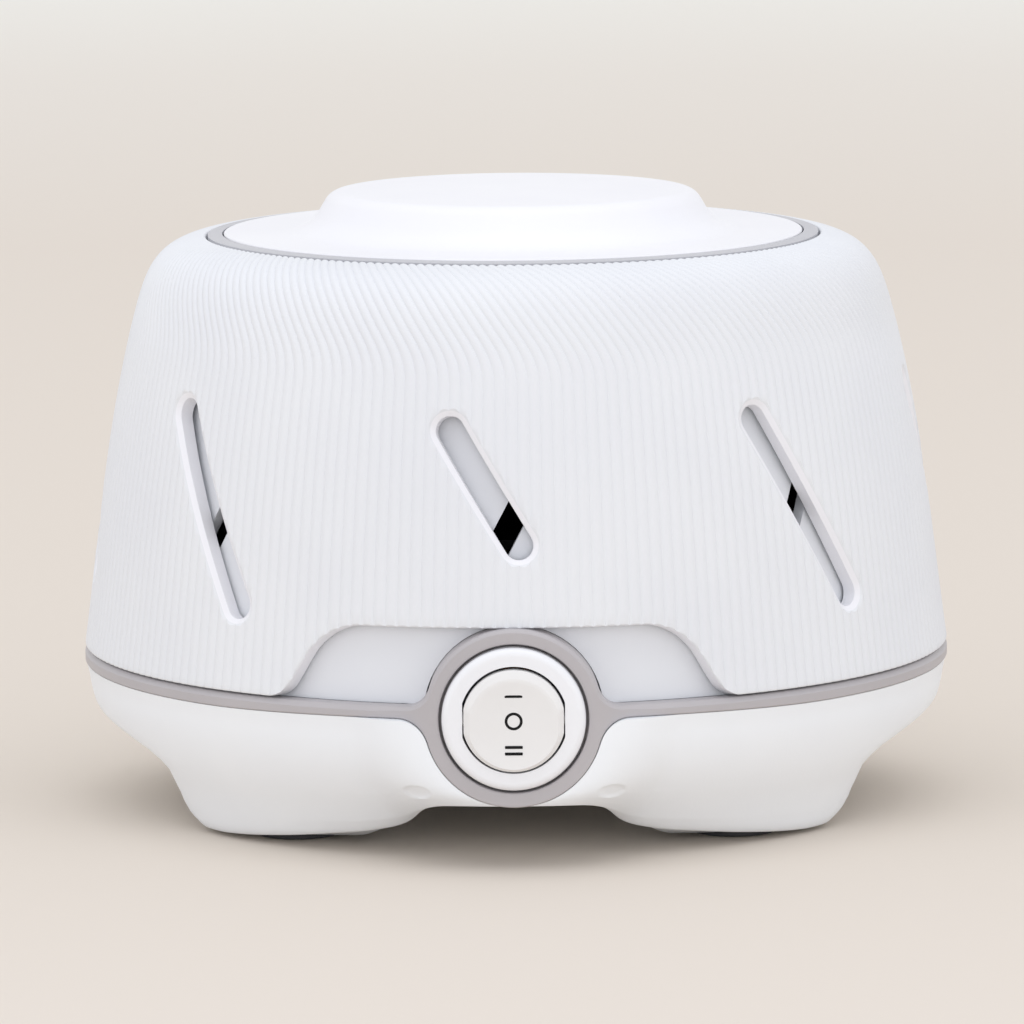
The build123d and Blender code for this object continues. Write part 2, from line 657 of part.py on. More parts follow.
with BuildPart() as acoustic_drum:
    revolve(housing_section(DRUM_INSET, TRIM_TOP_Z), axis=Axis.Z)
    revolve(ring(0, BODY_R, DECK_Z, HAT_TOP_Z), axis=Axis.Z, mode=Mode.SUBTRACT)
    revolve(housing_section(DRUM_INSET + DRUM_WALL, 0), axis=Axis.Z, mode=Mode.SUBTRACT)
    # flat deck that closes its top
    revolve(ring(0, DECK_R, DECK_Z - DECK_T, DECK_Z), axis=Axis.Z)
    # locating rim inside the trim band
    rim_r = TRIM_IN_R - LOCATING
    revolve(ring(rim_r - DRUM_WALL, rim_r, TRIM_TOP_Z - SPIGOT_H, TRIM_TOP_Z + DRUM_WALL), axis=Axis.Z)
    # screw posts on webs
    for angle in foot_names:
        with BuildSketch(Plane.XY.offset(BOSS_TOP_Z)):
            with PolarLocations(PAD_CIRCLE_R, 1, start_angle=angle):
                Circle(DRUM_POST_R)
        extrude(amount=DRUM_POST_H)
        with BuildSketch(Plane.XY.offset(TRIM_TOP_Z - SPIGOT_H)):
            with PolarLocations((PAD_CIRCLE_R + rim_r - DRUM_WALL / 2) / 2, 1, start_angle=angle):
                Rectangle(rim_r - DRUM_WALL / 2 - PAD_CIRCLE_R, WEB_T)
        extrude(amount=BOSS_TOP_Z + DRUM_POST_H - TRIM_TOP_Z + SPIGOT_H)
    with pad_places(BOSS_TOP_Z):
        Cylinder(SCREW_R + PRESS, DRUM_POST_H - 2, align=UP, mode=Mode.SUBTRACT)
    # side slots, slanted against the shell's
    for azimuth in window_places:
        extrude(slot_at(azimuth, -SLOT_TILT, SLOT_L, DRUM_SLOT_W), amount=BODY_R / 2, mode=Mode.SUBTRACT)
    # sound windows, the cap's bearing hole and the arc that its stop peg runs in
    for azimuth in window_places:
        window = sector(WINDOW_IN_R, WINDOW_OUT_R, WINDOW_ANGLE / 2, azimuth, DECK_Z)
        extrude(window, amount=-DECK_T, mode=Mode.SUBTRACT)
    stop_arc = sector(PEG_CIRCLE_R - PEG_R - RUNNING, PEG_CIRCLE_R + PEG_R + RUNNING, stop_angle, 90, DECK_Z)
    extrude(stop_arc, amount=-DECK_T, mode=Mode.SUBTRACT)
    with Locations((0, 0, DECK_Z)):
        Cylinder(HUB_R + PIVOT_PLAY, DECK_T, align=DOWN, mode=Mode.SUBTRACT)
        with PolarLocations(RING_SCREW_R, RING_SCREWS):
            Cylinder(RING_SCREW_SHANK_R + PRESS, DECK_T, align=DOWN, mode=Mode.SUBTRACT)
    # notches for the bezel, and in the locating rim for the base's two bosses
    with BuildSketch(front(SWITCH_BACK)):
        Circle(BEZEL_R + NOTCH_GAP)
    extrude(amount=BODY_R, mode=Mode.SUBTRACT)
    with BuildSketch(front(SWITCH_BACK)):
        Circle(BEZEL_R + SWITCH_BOSS_WALL + LOCATING)
        with Locations((0, TRIM_TOP_Z - SWITCH_Z)):
            Rectangle(4 * BEZEL_R, 4 * BEZEL_R, align=(Align.CENTER, Align.MAX), mode=Mode.INTERSECT)
    extrude(amount=BODY_R, mode=Mode.SUBTRACT)
    with BuildSketch(facing(180, SWITCH_BACK, GLAND_Z)):
        Circle(GLAND_BOSS_R + LOCATING)
    extrude(amount=BODY_R, mode=Mode.SUBTRACT)
acoustic_drum.part.label = "acoustic_drum"
export_step(acoustic_drum.part, "parts/acoustic_drum.step")

# ---------------------------------------------------------------- outer shell
with BuildPart() as outer_shell:
    revolve(housing_section(0, SEAM_Z), axis=Axis.Z)
    revolve(housing_section(SHELL_WALL, 0), axis=Axis.Z, mode=Mode.SUBTRACT)
    revolve(ring(0, OPENING_R, SEAM_Z, HAT_TOP_Z + HAT_H), axis=Axis.Z, mode=Mode.SUBTRACT)
    revolve(ring(OPENING_R - FLANGE_IN, OPENING_R + FLANGE_IN, FLANGE_Z, FLANGE_TOP_Z), axis=Axis.Z)
    for index in range(SLOT_COUNT):
        azimuth = index * 360 / SLOT_COUNT + SHELL_REST
        length = SHORT_SLOT_L if index == 0 else SLOT_L
        extrude(slot_at(azimuth, SLOT_TILT, length, SLOT_W), amount=BODY_R / 2, mode=Mode.SUBTRACT)
    with BuildSketch(facing(SHELL_REST, BODY_R / 2, SEAM_Z)) as cutout:
        with BuildLine():
            Polyline(
                (-CUTOUT_LOW_W / 2, 0),
                (CUTOUT_LOW_W / 2, 0),
                (CUTOUT_TOP_W / 2, CUTOUT_H),
                (-CUTOUT_TOP_W / 2, CUTOUT_H),
                close=True,
            )
        make_face()
        fillet(cutout.vertices().group_by(Axis.Y)[-1], CUTOUT_CORNER_R)
    extrude(amount=BODY_R, mode=Mode.SUBTRACT)
outer_shell.part.label = "outer_shell"
export_step(outer_shell.part, "parts/outer_shell.step")

# ---------------------------------------------------------------- glide ring, retaining ring and its screws
with BuildPart() as glide_ring:
    revolve(ring(COLLAR_R + LOCATING, OPENING_R, DECK_Z, DECK_Z + GLIDE_T), axis=Axis.Z)
glide_ring.part.label = "glide_ring"
export_step(glide_ring.part, "parts/glide_ring.step")

with BuildPart() as retaining_ring:
    ring_half = section(
        (RING_COLLAR_IN_R, DECK_Z),
        (COLLAR_R, DECK_Z),
        (COLLAR_R, RING_LIP_Z),
        (RING_R, RING_LIP_Z),
        (RING_R, CROWN_Z),
        (RING_INNER_R, CROWN_Z + RING_EDGE_RISE),
        (RING_INNER_R, COLLAR_TOP_Z),
        (RING_COLLAR_IN_R, COLLAR_TOP_Z),
    )
    revolve(ring_half, axis=Axis.Z)
    with Locations((0, 0, COLLAR_TOP_Z)):
        with PolarLocations(RING_SCREW_R, RING_SCREWS):
            Cylinder(RING_SCREW_SHANK_R + LOCATING, COLLAR_TOP_Z - DECK_Z, align=DOWN, mode=Mode.SUBTRACT)
            Cylinder(RING_SCREW_HEAD_R + LOCATING, RING_SCREW_HEAD_T, align=DOWN, mode=Mode.SUBTRACT)
retaining_ring.part.label = "retaining_ring"
export_step(retaining_ring.part, "parts/retaining_ring.step")

with BuildPart() as ring_screws:
    with Locations((0, 0, COLLAR_TOP_Z)):
        with PolarLocations(RING_SCREW_R, RING_SCREWS):
            Cylinder(RING_SCREW_HEAD_R, RING_SCREW_HEAD_T, align=DOWN)
            Cylinder(RING_SCREW_SHANK_R, COLLAR_TOP_Z - DECK_Z + DECK_T + 1, align=DOWN)
ring_screws.part.label = "ring_screws"
export_step(ring_screws.part, "parts/ring_screws.step")

# ---------------------------------------------------------------- cap, shutter and their pivot
def hat_section(inset, bottom):
    """Half section inside the raised middle of the cap, drawn in by inset, from the height bottom up."""
    foot_r = HAT_FOOT_R - inset
    top_r = HAT_R - inset
    with BuildSketch(Plane.XZ) as half:
        with BuildLine():
            Polyline(
                (0, bottom),
                (foot_r, bottom),
                (foot_r, BRIM_Z),
                (top_r, HAT_TOP_Z - inset),
                (0, HAT_TOP_Z - inset),
                close=True,
            )
        make_face()
        top_corner = half.vertices().filter_by(lambda v: v.X > 1).sort_by(Axis.Y)[-1]
        fillet(top_corner, HAT_TOP_ROUND - inset)
    return half.sketch


with BuildPart() as cap:
    revolve(ring(0, BRIM_R, BRIM_UNDER_Z, BRIM_Z), axis=Axis.Z)
    revolve(hat_section(0, BRIM_UNDER_Z), axis=Axis.Z)
    foot_edges = cap.edges().filter_by(GeomType.CIRCLE)
    foot_edge = foot_edges.filter_by(lambda e: abs(e.radius - HAT_FOOT_R) < 0.01).sort_by(Axis.Z)[-1]
    fillet(foot_edge, HAT_FOOT_ROUND)
    revolve(hat_section(CAP_WALL, BRIM_UNDER_Z), axis=Axis.Z, mode=Mode.SUBTRACT)
    with Locations((0, 0, HAT_TOP_Z - CAP_WALL)):
        Cylinder(HUB_R + 2, HAT_TOP_Z - CAP_WALL - SHUTTER_Z - SHUTTER_T, align=DOWN)
        Cylinder(HUB_R, HAT_TOP_Z - CAP_WALL - DECK_Z + DECK_T + RUNNING, align=DOWN)
    with Locations((0, 0, DECK_Z - DECK_T - RUNNING)):
        Cylinder(HUB_BORE_R + PRESS, CAP_SCREW_L, align=UP, mode=Mode.SUBTRACT)
cap.part.label = "cap"
export_step(cap.part, "parts/cap.step")

with BuildPart() as cap_shutter:
    revolve(ring(HUB_R + PRESS, RING_COLLAR_IN_R - RUNNING, SHUTTER_Z, SHUTTER_Z + SHUTTER_T), axis=Axis.Z)
    for azimuth in window_places:
        window = sector(WINDOW_IN_R, WINDOW_OUT_R, WINDOW_ANGLE / 2, azimuth, SHUTTER_Z)
        extrude(window, amount=SHUTTER_T, mode=Mode.SUBTRACT)
    with Locations((0, PEG_CIRCLE_R, SHUTTER_Z)):
        Cylinder(PEG_R, RUNNING + DECK_T, align=DOWN)
cap_shutter.part.label = "cap_shutter"
export_step(cap_shutter.part, "parts/cap_shutter.step")

UNDER_DECK_Z = DECK_Z - DECK_T - RUNNING
with BuildPart() as cap_washer:
    revolve(ring(HUB_BORE_R + PRESS, WASHER_R, UNDER_DECK_Z - WASHER_T, UNDER_DECK_Z), axis=Axis.Z)
cap_washer.part.label = "cap_washer"
export_step(cap_washer.part, "parts/cap_washer.step")

with BuildPart() as cap_screw:
    with Locations((0, 0, UNDER_DECK_Z - WASHER_T)):
        Cylinder(SCREW_HEAD_R, SCREW_HEAD_T, align=DOWN)
        Cylinder(HUB_BORE_R, CAP_SCREW_L, align=UP)
cap_screw.part.label = "cap_screw"
export_step(cap_screw.part, "parts/cap_screw.step")

# ---------------------------------------------------------------- motor mounting
with BuildPart() as motor_plate:
    with BuildSketch(Plane.XY.offset(PLATE_Z)) as plate_face:
        with Locations((0, (PLATE_BACK - PLATE_FRONT) / 2)):
            RectangleRounded(PLATE_W, PLATE_BACK + PLATE_FRONT, GROMMET_R)
        Rectangle(PLATE_WINDOW_W, PLATE_WINDOW_D, mode=Mode.SUBTRACT)
        with post_places(0):
            Circle(GROMMET_NECK_R + PRESS, mode=Mode.SUBTRACT)
        with Locations((-BOLT_X, 0), (BOLT_X, 0)):
            Circle(SCREW_R + LOCATING, mode=Mode.SUBTRACT)
    extrude(amount=PLATE_T)
motor_plate.part.label = "motor_plate"
export_step(motor_plate.part, "parts/motor_plate.step")

with BuildPart() as motor_grommets:
    with BuildSketch(Plane.XY.offset(POST_TOP_Z)):
        with post_places(0):
            Circle(GROMMET_R)
    extrude(amount=PLATE_Z - POST_TOP_Z - PRESS)
    with BuildSketch(Plane.XY.offset(POST_TOP_Z)):
        with post_places(0):
            Circle(GROMMET_NECK_R)
    extrude(amount=GROMMET_TOP_Z - POST_TOP_Z)
    with BuildSketch(Plane.XY.offset(PLATE_Z + PLATE_T + PRESS)):
        with post_places(0):
            Circle(GROMMET_R)
    extrude(amount=GROMMET_FLANGE_T - PRESS)
    with BuildSketch(Plane.XY.offset(POST_TOP_Z)):
        with post_places(0):
            Circle(SCREW_R + PRESS)
    extrude(amount=GROMMET_TOP_Z - POST_TOP_Z, mode=Mode.SUBTRACT)
motor_grommets.part.label = "motor_grommets"
export_step(motor_grommets.part, "parts/motor_grommets.step")

with BuildPart() as plate_screws:
    with post_places(GROMMET_TOP_Z):
        Cylinder(SCREW_HEAD_R, SCREW_HEAD_T, align=UP)
        Cylinder(SCREW_R, GROMMET_TOP_Z - FLOOR_Z - 1, align=DOWN)
plate_screws.part.label = "plate_screws"
export_step(plate_screws.part, "parts/plate_screws.step")

# ---------------------------------------------------------------- motor
shade_corners = [(side * x, side * SHADE_Y) for side in (-1, 1) for x in (SHADE_IN, SHADE_OUT)]

with BuildPart() as motor_stator:
    with BuildSketch(Plane.XY.offset(STACK_Z)):
        with Locations((0, (STACK_BACK - STACK_FRONT) / 2)):
            Rectangle(STACK_W, STACK_BACK + STACK_FRONT)
        Circle(BORE_R, mode=Mode.SUBTRACT)
        with Locations((0, (COIL_WINDOW_FRONT + LEG_FRONT) / 2)):
            Rectangle(COIL_WINDOW_W, LEG_FRONT - COIL_WINDOW_FRONT, mode=Mode.SUBTRACT)
        with Locations((-BOLT_X, 0), (BOLT_X, 0)):
            Circle(SCREW_R + LOCATING, mode=Mode.SUBTRACT)
        with Locations(*shade_corners):
            Rectangle(SHADE_BAR + 2 * PRESS, SHADE_BAR + 2 * PRESS, mode=Mode.SUBTRACT)
    extrude(amount=STACK_H)
motor_stator.part.label = "motor_stator"
export_step(motor_stator.part, "parts/motor_stator.step")

with BuildPart() as shading_rings:
    for side in (-1, 1):
        with BuildSketch(Plane.XZ.offset(-side * SHADE_Y)):
            with Locations((side * (SHADE_IN + SHADE_OUT) / 2, (STACK_Z + STACK_TOP_Z) / 2)):
                Rectangle(SHADE_OUT - SHADE_IN + SHADE_BAR, STACK_H + 2 * SHADE_BAR)
                Rectangle(SHADE_OUT - SHADE_IN - SHADE_BAR, STACK_H, mode=Mode.SUBTRACT)
        extrude(amount=SHADE_BAR / 2, both=True)
shading_rings.part.label = "shading_rings"
export_step(shading_rings.part, "parts/shading_rings.step")

with BuildPart() as motor_rotor:
    rotor_r = BORE_R - AIR_GAP
    revolve(ring(SHAFT_R + PRESS, rotor_r, STACK_Z, STACK_TOP_Z), axis=Axis.Z)
    revolve(ring(SHAFT_R + 2, END_RING_R, STACK_Z - END_RING_T, STACK_TOP_Z + END_RING_T), axis=Axis.Z)
motor_rotor.part.label = "motor_rotor"
export_step(motor_rotor.part, "parts/motor_rotor.step")

SHAFT_END_Z = LOWER_BRIDGE_Z - BEARING_L / 2
SHAFT_TOP_Z = FAN_Z + FAN_HUB_UP
with BuildPart() as motor_shaft:
    with Locations((0, 0, SHAFT_END_Z)):
        Cylinder(SHAFT_R, SHAFT_TOP_Z - SHAFT_END_Z, align=UP)
    chamfer(motor_shaft.edges().filter_by(GeomType.CIRCLE), SHAFT_R / 5)
motor_shaft.part.label = "motor_shaft"
export_step(motor_shaft.part, "parts/motor_shaft.step")

bridge_heights = {"upper": UPPER_BRIDGE_Z, "lower": LOWER_BRIDGE_Z}
for name, bridge_z in bridge_heights.items():
    with BuildPart() as motor_bearing:
        low = bridge_z + (BRACKET_T - BEARING_L) / 2
        revolve(ring(SHAFT_R + SHAFT_PLAY, BEARING_R, low, low + BEARING_L), axis=Axis.Z)
    motor_bearing.part.label = f"{name}_bearing"
    export_step(motor_bearing.part, f"parts/{name}_bearing.step")

    foot_z = STACK_TOP_Z if name == "upper" else PLATE_Z - BRACKET_T
    leg_low = min(foot_z, bridge_z)
    leg_high = max(foot_z, bridge_z) + BRACKET_T
    with BuildPart() as bearing_bracket:
        with BuildSketch(Plane.XY.offset(bridge_z)):
            Rectangle(2 * BRACKET_LEG_X, BRACKET_W)
            Circle(BEARING_R + PRESS, mode=Mode.SUBTRACT)
        extrude(amount=BRACKET_T)
        for side in (-1, 1):
            leg_x = side * (BRACKET_LEG_X - BRACKET_T / 2)
            foot_x = side * (BRACKET_LEG_X - BRACKET_T + BRACKET_FOOT / 2)
            with BuildSketch(Plane.XY.offset(leg_low)):
                with Locations((leg_x, 0)):
                    Rectangle(BRACKET_T, BRACKET_W)
            extrude(amount=leg_high - leg_low)
            with BuildSketch(Plane.XY.offset(foot_z)):
                with Locations((foot_x, 0)):
                    Rectangle(BRACKET_FOOT, BRACKET_W)
                with Locations((side * BOLT_X, 0)):
                    Circle(SCREW_R + LOCATING, mode=Mode.SUBTRACT)
            extrude(amount=BRACKET_T)
    bearing_bracket.part.label = f"{name}_bearing_bracket"
    export_step(bearing_bracket.part, f"parts/{name}_bearing_bracket.step")

bolt_seat = STACK_TOP_Z + BRACKET_T
nut_seat = PLATE_Z - BRACKET_T
with BuildPart() as motor_bolts:
    with Locations((-BOLT_X, 0, bolt_seat), (BOLT_X, 0, bolt_seat)):
        Cylinder(NUT_R, SCREW_HEAD_T, align=UP)
        Cylinder(SCREW_R, bolt_seat - nut_seat + NUT_T + 1, align=DOWN)
motor_bolts.part.label = "motor_bolts"
export_step(motor_bolts.part, "parts/motor_bolts.step")

with BuildPart() as motor_nuts:
    with BuildSketch(Plane.XY.offset(nut_seat)):
        with Locations((-BOLT_X, 0), (BOLT_X, 0)):
            RegularPolygon(NUT_R, 6)
            Circle(SCREW_R + PRESS, mode=Mode.SUBTRACT)
    extrude(amount=-NUT_T)
motor_nuts.part.label = "motor_nuts"
export_step(motor_nuts.part, "parts/motor_nuts.step")

# ---------------------------------------------------------------- coil
BOBBIN_W = COIL_WINDOW_W - 2 * LOCATING
CORE_D = LEG_D + 2 * LOCATING
CORE_H = STACK_H + 2 * LOCATING
stack_middle = (STACK_Z + STACK_TOP_Z) / 2


def coil_plane(offset):
    """Upright plane across the coil's leg, offset along the leg from its middle."""
    return Plane(origin=(offset, LEG_MIDDLE, stack_middle), x_dir=(0, 1, 0), z_dir=(1, 0, 0))


with BuildPart() as coil_bobbin:
    core_wall = 2 * BOBBIN_T
    with BuildSketch(coil_plane(-BOBBIN_W / 2)):
        Rectangle(CORE_D + core_wall, CORE_H + core_wall)
    extrude(amount=BOBBIN_W)
    cheek = core_wall + 2 * COIL_BUILD
    for start in (-BOBBIN_W / 2, BOBBIN_W / 2 - BOBBIN_T):
        with BuildSketch(coil_plane(start)):
            RectangleRounded(CORE_D + cheek, CORE_H + cheek, BOBBIN_T)
        extrude(amount=BOBBIN_T)
    with BuildSketch(coil_plane(-BOBBIN_W / 2)):
        Rectangle(CORE_D, CORE_H)
    extrude(amount=BOBBIN_W, mode=Mode.SUBTRACT)
coil_bobbin.part.label = "coil_bobbin"
export_step(coil_bobbin.part, "parts/coil_bobbin.step")

WINDING_W = BOBBIN_W - 2 * BOBBIN_T - 2 * PRESS
winding_build = cheek - 1.0
with BuildPart() as coil_winding:
    with BuildSketch(coil_plane(-WINDING_W / 2)):
        RectangleRounded(CORE_D + winding_build, CORE_H + winding_build, BOBBIN_T)
        Rectangle(CORE_D + core_wall + 2 * PRESS, CORE_H + core_wall + 2 * PRESS, mode=Mode.SUBTRACT)
    extrude(amount=WINDING_W)
coil_winding.part.label = "coil_winding"
export_step(coil_winding.part, "parts/coil_winding.step")

FUSE_Y = LEG_MIDDLE + (CORE_D + winding_build) / 2 + FUSE_R + PRESS
with BuildPart() as thermal_fuse:
    with BuildSketch(Plane.YZ.offset(-FUSE_L / 2)):
        with Locations((FUSE_Y, stack_middle)):
            Circle(FUSE_R)
    extrude(amount=FUSE_L)
thermal_fuse.part.label = "thermal_fuse"
export_step(thermal_fuse.part, "parts/thermal_fuse.step")

# ---------------------------------------------------------------- fan
with BuildPart() as fan:
    revolve(ring(SHAFT_R + PRESS, FAN_R, FAN_Z, FAN_Z + FAN_DISC_T), axis=Axis.Z)
    revolve(ring(SHAFT_R + PRESS, FAN_HUB_R, FAN_Z - FAN_HUB_DOWN, FAN_Z + FAN_HUB_UP), axis=Axis.Z)
    blade_l = FAN_R - FAN_BLADE_IN_R
    for index in range(FAN_BLADES):
        angle = index * 360 / FAN_BLADES + FAN_UNEVEN * (index % 3 - 1)
        with BuildSketch(Plane.XY.offset(FAN_Z)):
            with PolarLocations((FAN_R + FAN_BLADE_IN_R) / 2 - 1, 1, start_angle=angle):
                Rectangle(blade_l, FAN_BLADE_T, rotation=FAN_BLADE_LEAN)
        extrude(amount=FAN_DISC_T + FAN_BLADE_H)
    fan_top = FAN_Z + FAN_DISC_T + FAN_BLADE_H
    revolve(ring(FAN_R - FAN_RIM_W, FAN_R, fan_top - FAN_RIM_T, fan_top), axis=Axis.Z)
    revolve(ring(FAN_R, FAN_R + 5, FAN_Z - 1, fan_top + 1), axis=Axis.Z, mode=Mode.SUBTRACT)
fan.part.label = "fan"
export_step(fan.part, "parts/fan.step")

with BuildPart() as fan_clip:
    clip_low = FAN_Z + FAN_HUB_UP - CLIP_H - 1
    revolve(ring(FAN_HUB_R + PRESS, FAN_HUB_R + CLIP_T, clip_low, clip_low + CLIP_H), axis=Axis.Z)
fan_clip.part.label = "fan_clip"
export_step(fan_clip.part, "parts/fan_clip.step")

# ---------------------------------------------------------------- wiring
block_front = BLOCK_BACK - BLOCK_D
block_middle = (block_front + BLOCK_BACK) / 2
block_top = FLOOR_Z + BLOCK_H
with BuildPart() as terminal_block:
    with Locations((0, block_middle, FLOOR_Z)):
        Box(BLOCK_W, BLOCK_D, BLOCK_H, align=UP)
    with Locations((0, block_middle, block_top)):
        with GridLocations(BLOCK_W / 2, 0, 2, 1):
            Cylinder(BLOCK_SCREW_R + LOCATING, BLOCK_H / 2, align=DOWN, mode=Mode.SUBTRACT)
terminal_block.part.label = "terminal_block"
export_step(terminal_block.part, "parts/terminal_block.step")

with BuildPart() as block_screws:
    with Locations((0, block_middle, block_top - BLOCK_H / 2)):
        with GridLocations(BLOCK_W / 2, 0, 2, 1):
            Cylinder(BLOCK_SCREW_R, BLOCK_H / 3, align=UP)
block_screws.part.label = "block_screws"
export_step(block_screws.part, "parts/block_screws.step")

with BuildPart() as cord_gland:
    with BuildSketch(facing(180, GLAND_BACK, GLAND_Z)):
        Circle(GLAND_R)
    extrude(amount=GLAND_FACE - GLAND_BACK)
    with BuildSketch(facing(180, GLAND_BOSS_FACE, GLAND_Z)):
        Circle(GLAND_FLANGE_R)
    extrude(amount=GLAND_FACE - GLAND_BOSS_FACE)
    fillet(cord_gland.edges().filter_by(GeomType.CIRCLE).sort_by(Axis.Y)[-1], 1.0)
    with BuildSketch(facing(180, GLAND_BACK, GLAND_Z)):
        Circle(GLAND_BORE_R)
    extrude(amount=GLAND_FACE - GLAND_BACK, mode=Mode.SUBTRACT)
cord_gland.part.label = "cord_gland"
export_step(cord_gland.part, "parts/cord_gland.step")

coil_side = BOBBIN_W / 2 + LEAD_R + LOCATING
terminal_heights = [SWITCH_Z + step * TERMINAL_PITCH for step in (-1, 0, 1)]
block_lead_z = FLOOR_Z + BLOCK_H / 2
block_side = BLOCK_W / 2 + LOCATING
lead_y = LOCATING - TERMINAL_END
lead_routes = {
    "lead_live": [
        (-block_side, block_middle, block_lead_z),
        (-18, block_middle, block_lead_z),
        (-25, 28, 14),
        (-43, 8, 14),
        (-43, -16, 16),
        (-22, -34, 20),
        (-8, -38, terminal_heights[1]),
        (0, lead_y + 5, terminal_heights[1]),
        (0, lead_y, terminal_heights[1]),
    ],
    "lead_low": [
        (coil_side, STACK_BACK + 2.5, 26),
        (coil_side + 10, STACK_BACK + 3, 20),
        (29, 24, 14),
        (43, 8, 14),
        (43, -16, 15),
        (22, -36, 17),
        (7, -40, terminal_heights[0]),
        (0, lead_y + 4, terminal_heights[0]),
        (0, lead_y, terminal_heights[0]),
    ],
    "lead_high": [
        (coil_side, STACK_BACK + 5, 31),
        (coil_side + 12, STACK_BACK + 5, 26),
        (33, 24, 18.5),
        (46, 8, 18),
        (45, -16, 20),
        (24, -34, 26),
        (7, -39, terminal_heights[2]),
        (0, lead_y + 4, terminal_heights[2]),
        (0, lead_y, terminal_heights[2]),
    ],
    "lead_neutral": [
        (block_side, block_middle, block_lead_z),
        (17, block_middle, block_lead_z),
        (16, FUSE_Y + 4, stack_middle - 5),
        (FUSE_L / 2 + 5, FUSE_Y, stack_middle),
        (FUSE_L / 2 + LOCATING, FUSE_Y, stack_middle),
    ],
}
for name, points in lead_routes.items():
    with BuildPart() as lead:
        with BuildLine() as route:
            FilletPolyline(*points, radius=LEAD_BEND)
        with BuildSketch(Plane(origin=route.line @ 0, z_dir=route.line % 0)):
            Circle(LEAD_R)
        sweep()
    lead.part.label = name
    export_step(lead.part, f"parts/{name}.step")
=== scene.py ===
"""White noise sound machine: its looks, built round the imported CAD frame.

Helpers work in millimetres and put meshes into the scene in metres. The front, with the switch, is towards
-Y. Azimuths are counted from the front towards +X. Heights called z in the outlines are above the seam
between base and shell, and radii are from the fan's axis.
"""

import json
from math import acos, asin, atan2, ceil, cos, degrees, pi, radians, sin, sqrt, tan

import bmesh
import bpy
import numpy as np
from mathutils import Matrix, Vector, geometry


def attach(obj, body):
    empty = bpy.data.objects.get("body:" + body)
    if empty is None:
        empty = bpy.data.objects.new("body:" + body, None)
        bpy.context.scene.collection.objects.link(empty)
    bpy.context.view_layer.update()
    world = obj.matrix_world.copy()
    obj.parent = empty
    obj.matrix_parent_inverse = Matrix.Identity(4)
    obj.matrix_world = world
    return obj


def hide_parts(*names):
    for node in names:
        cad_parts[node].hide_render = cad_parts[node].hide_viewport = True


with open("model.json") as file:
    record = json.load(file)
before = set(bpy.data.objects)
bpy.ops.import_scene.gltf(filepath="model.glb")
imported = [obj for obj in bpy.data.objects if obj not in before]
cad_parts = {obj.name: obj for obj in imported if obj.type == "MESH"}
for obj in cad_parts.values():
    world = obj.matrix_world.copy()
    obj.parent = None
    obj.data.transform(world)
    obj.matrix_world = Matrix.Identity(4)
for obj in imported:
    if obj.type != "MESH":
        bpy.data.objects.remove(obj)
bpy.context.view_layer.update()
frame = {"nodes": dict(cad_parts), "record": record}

MM = 0.001
SEAM_Z = 27.0
BODY_R = 73.0
BEZEL_Z = -2.1
SWITCH_Z = SEAM_Z + BEZEL_Z
SHARP = 35  # degrees: edges that bend more stay sharp


# ---------------- mesh helpers
def smoothstep(low, high, x):
    """0 below low, 1 above high, and a smooth rise between them."""
    t = np.clip((np.asarray(x, float) - low) / (high - low), 0, 1)
    return t * t * (3 - 2 * t)


def unit(vectors):
    """Vectors of the plane at length 1."""
    return vectors / np.hypot(*vectors.T)[:, None]


def right_of(way):
    """Vectors of the plane turned a quarter to the right."""
    return np.stack([way[:, 1], -way[:, 0]], -1)


def around(azimuth, radius, height):
    """Points at azimuths in radians, radii and heights, as an array of (x, y, z)."""
    azimuth, radius, height = np.broadcast_arrays(azimuth, radius, height)
    return np.stack([radius * np.sin(azimuth), -radius * np.cos(azimuth), height], -1)


def arc_points(centre, radius, start, end, step=8):
    """Points of an arc from the angle start to end, in radians, at most step degrees apart."""
    count = max(2, ceil(abs(degrees(end - start)) / step))
    angles = np.linspace(start, end, count + 1)
    return np.stack([centre[0] + radius * np.cos(angles), centre[1] + radius * np.sin(angles)], -1)


def rounded(corners, closed=True, step=8):
    """A polyline through corners (x, y, radius), each corner turned into an arc."""
    points = []
    count = len(corners)
    for index, (x, y, radius) in enumerate(corners):
        here = np.array((x, y), float)
        if radius <= 0 or (not closed and index in (0, count - 1)):
            points.append(here[None])
            continue
        before = np.array(corners[index - 1][:2], float) - here
        after = np.array(corners[(index + 1) % count][:2], float) - here
        before /= np.hypot(*before)
        after /= np.hypot(*after)
        half = acos(float(np.clip(before @ after, -1, 1))) / 2
        middle = (before + after) / np.hypot(*(before + after))
        centre = here + middle * radius / sin(half)
        first = here + before * radius / tan(half) - centre
        last = here + after * radius / tan(half) - centre
        start = atan2(first[1], first[0])
        sweep = (atan2(last[1], last[0]) - start + pi) % (2 * pi) - pi
        points.append(arc_points(centre, radius, start, start + sweep, step))
    return np.concatenate(points)


def along(points, count):
    """count points evenly spaced along a polyline."""
    points = np.asarray(points, float)
    length = np.concatenate([[0], np.cumsum(np.hypot(*np.diff(points, axis=0).T))])
    at = np.linspace(0, length[-1], count)
    return np.stack([np.interp(at, length, points[:, k]) for k in (0, 1)], -1)


def dense(line, step=1.0):
    """A polyline with its long runs cut into pieces no longer than step."""
    parts = [line[:1]]
    for start, end in zip(line, line[1:]):
        count = ceil(np.hypot(*(end - start)) / step)
        parts.append(start + (end - start) * (np.arange(1, count + 1) / count)[:, None])
    return np.concatenate(parts)


def inset(line, distance):
    """A polyline moved to its left by a distance."""
    return line - right_of(unit(np.gradient(line, axis=0))) * distance


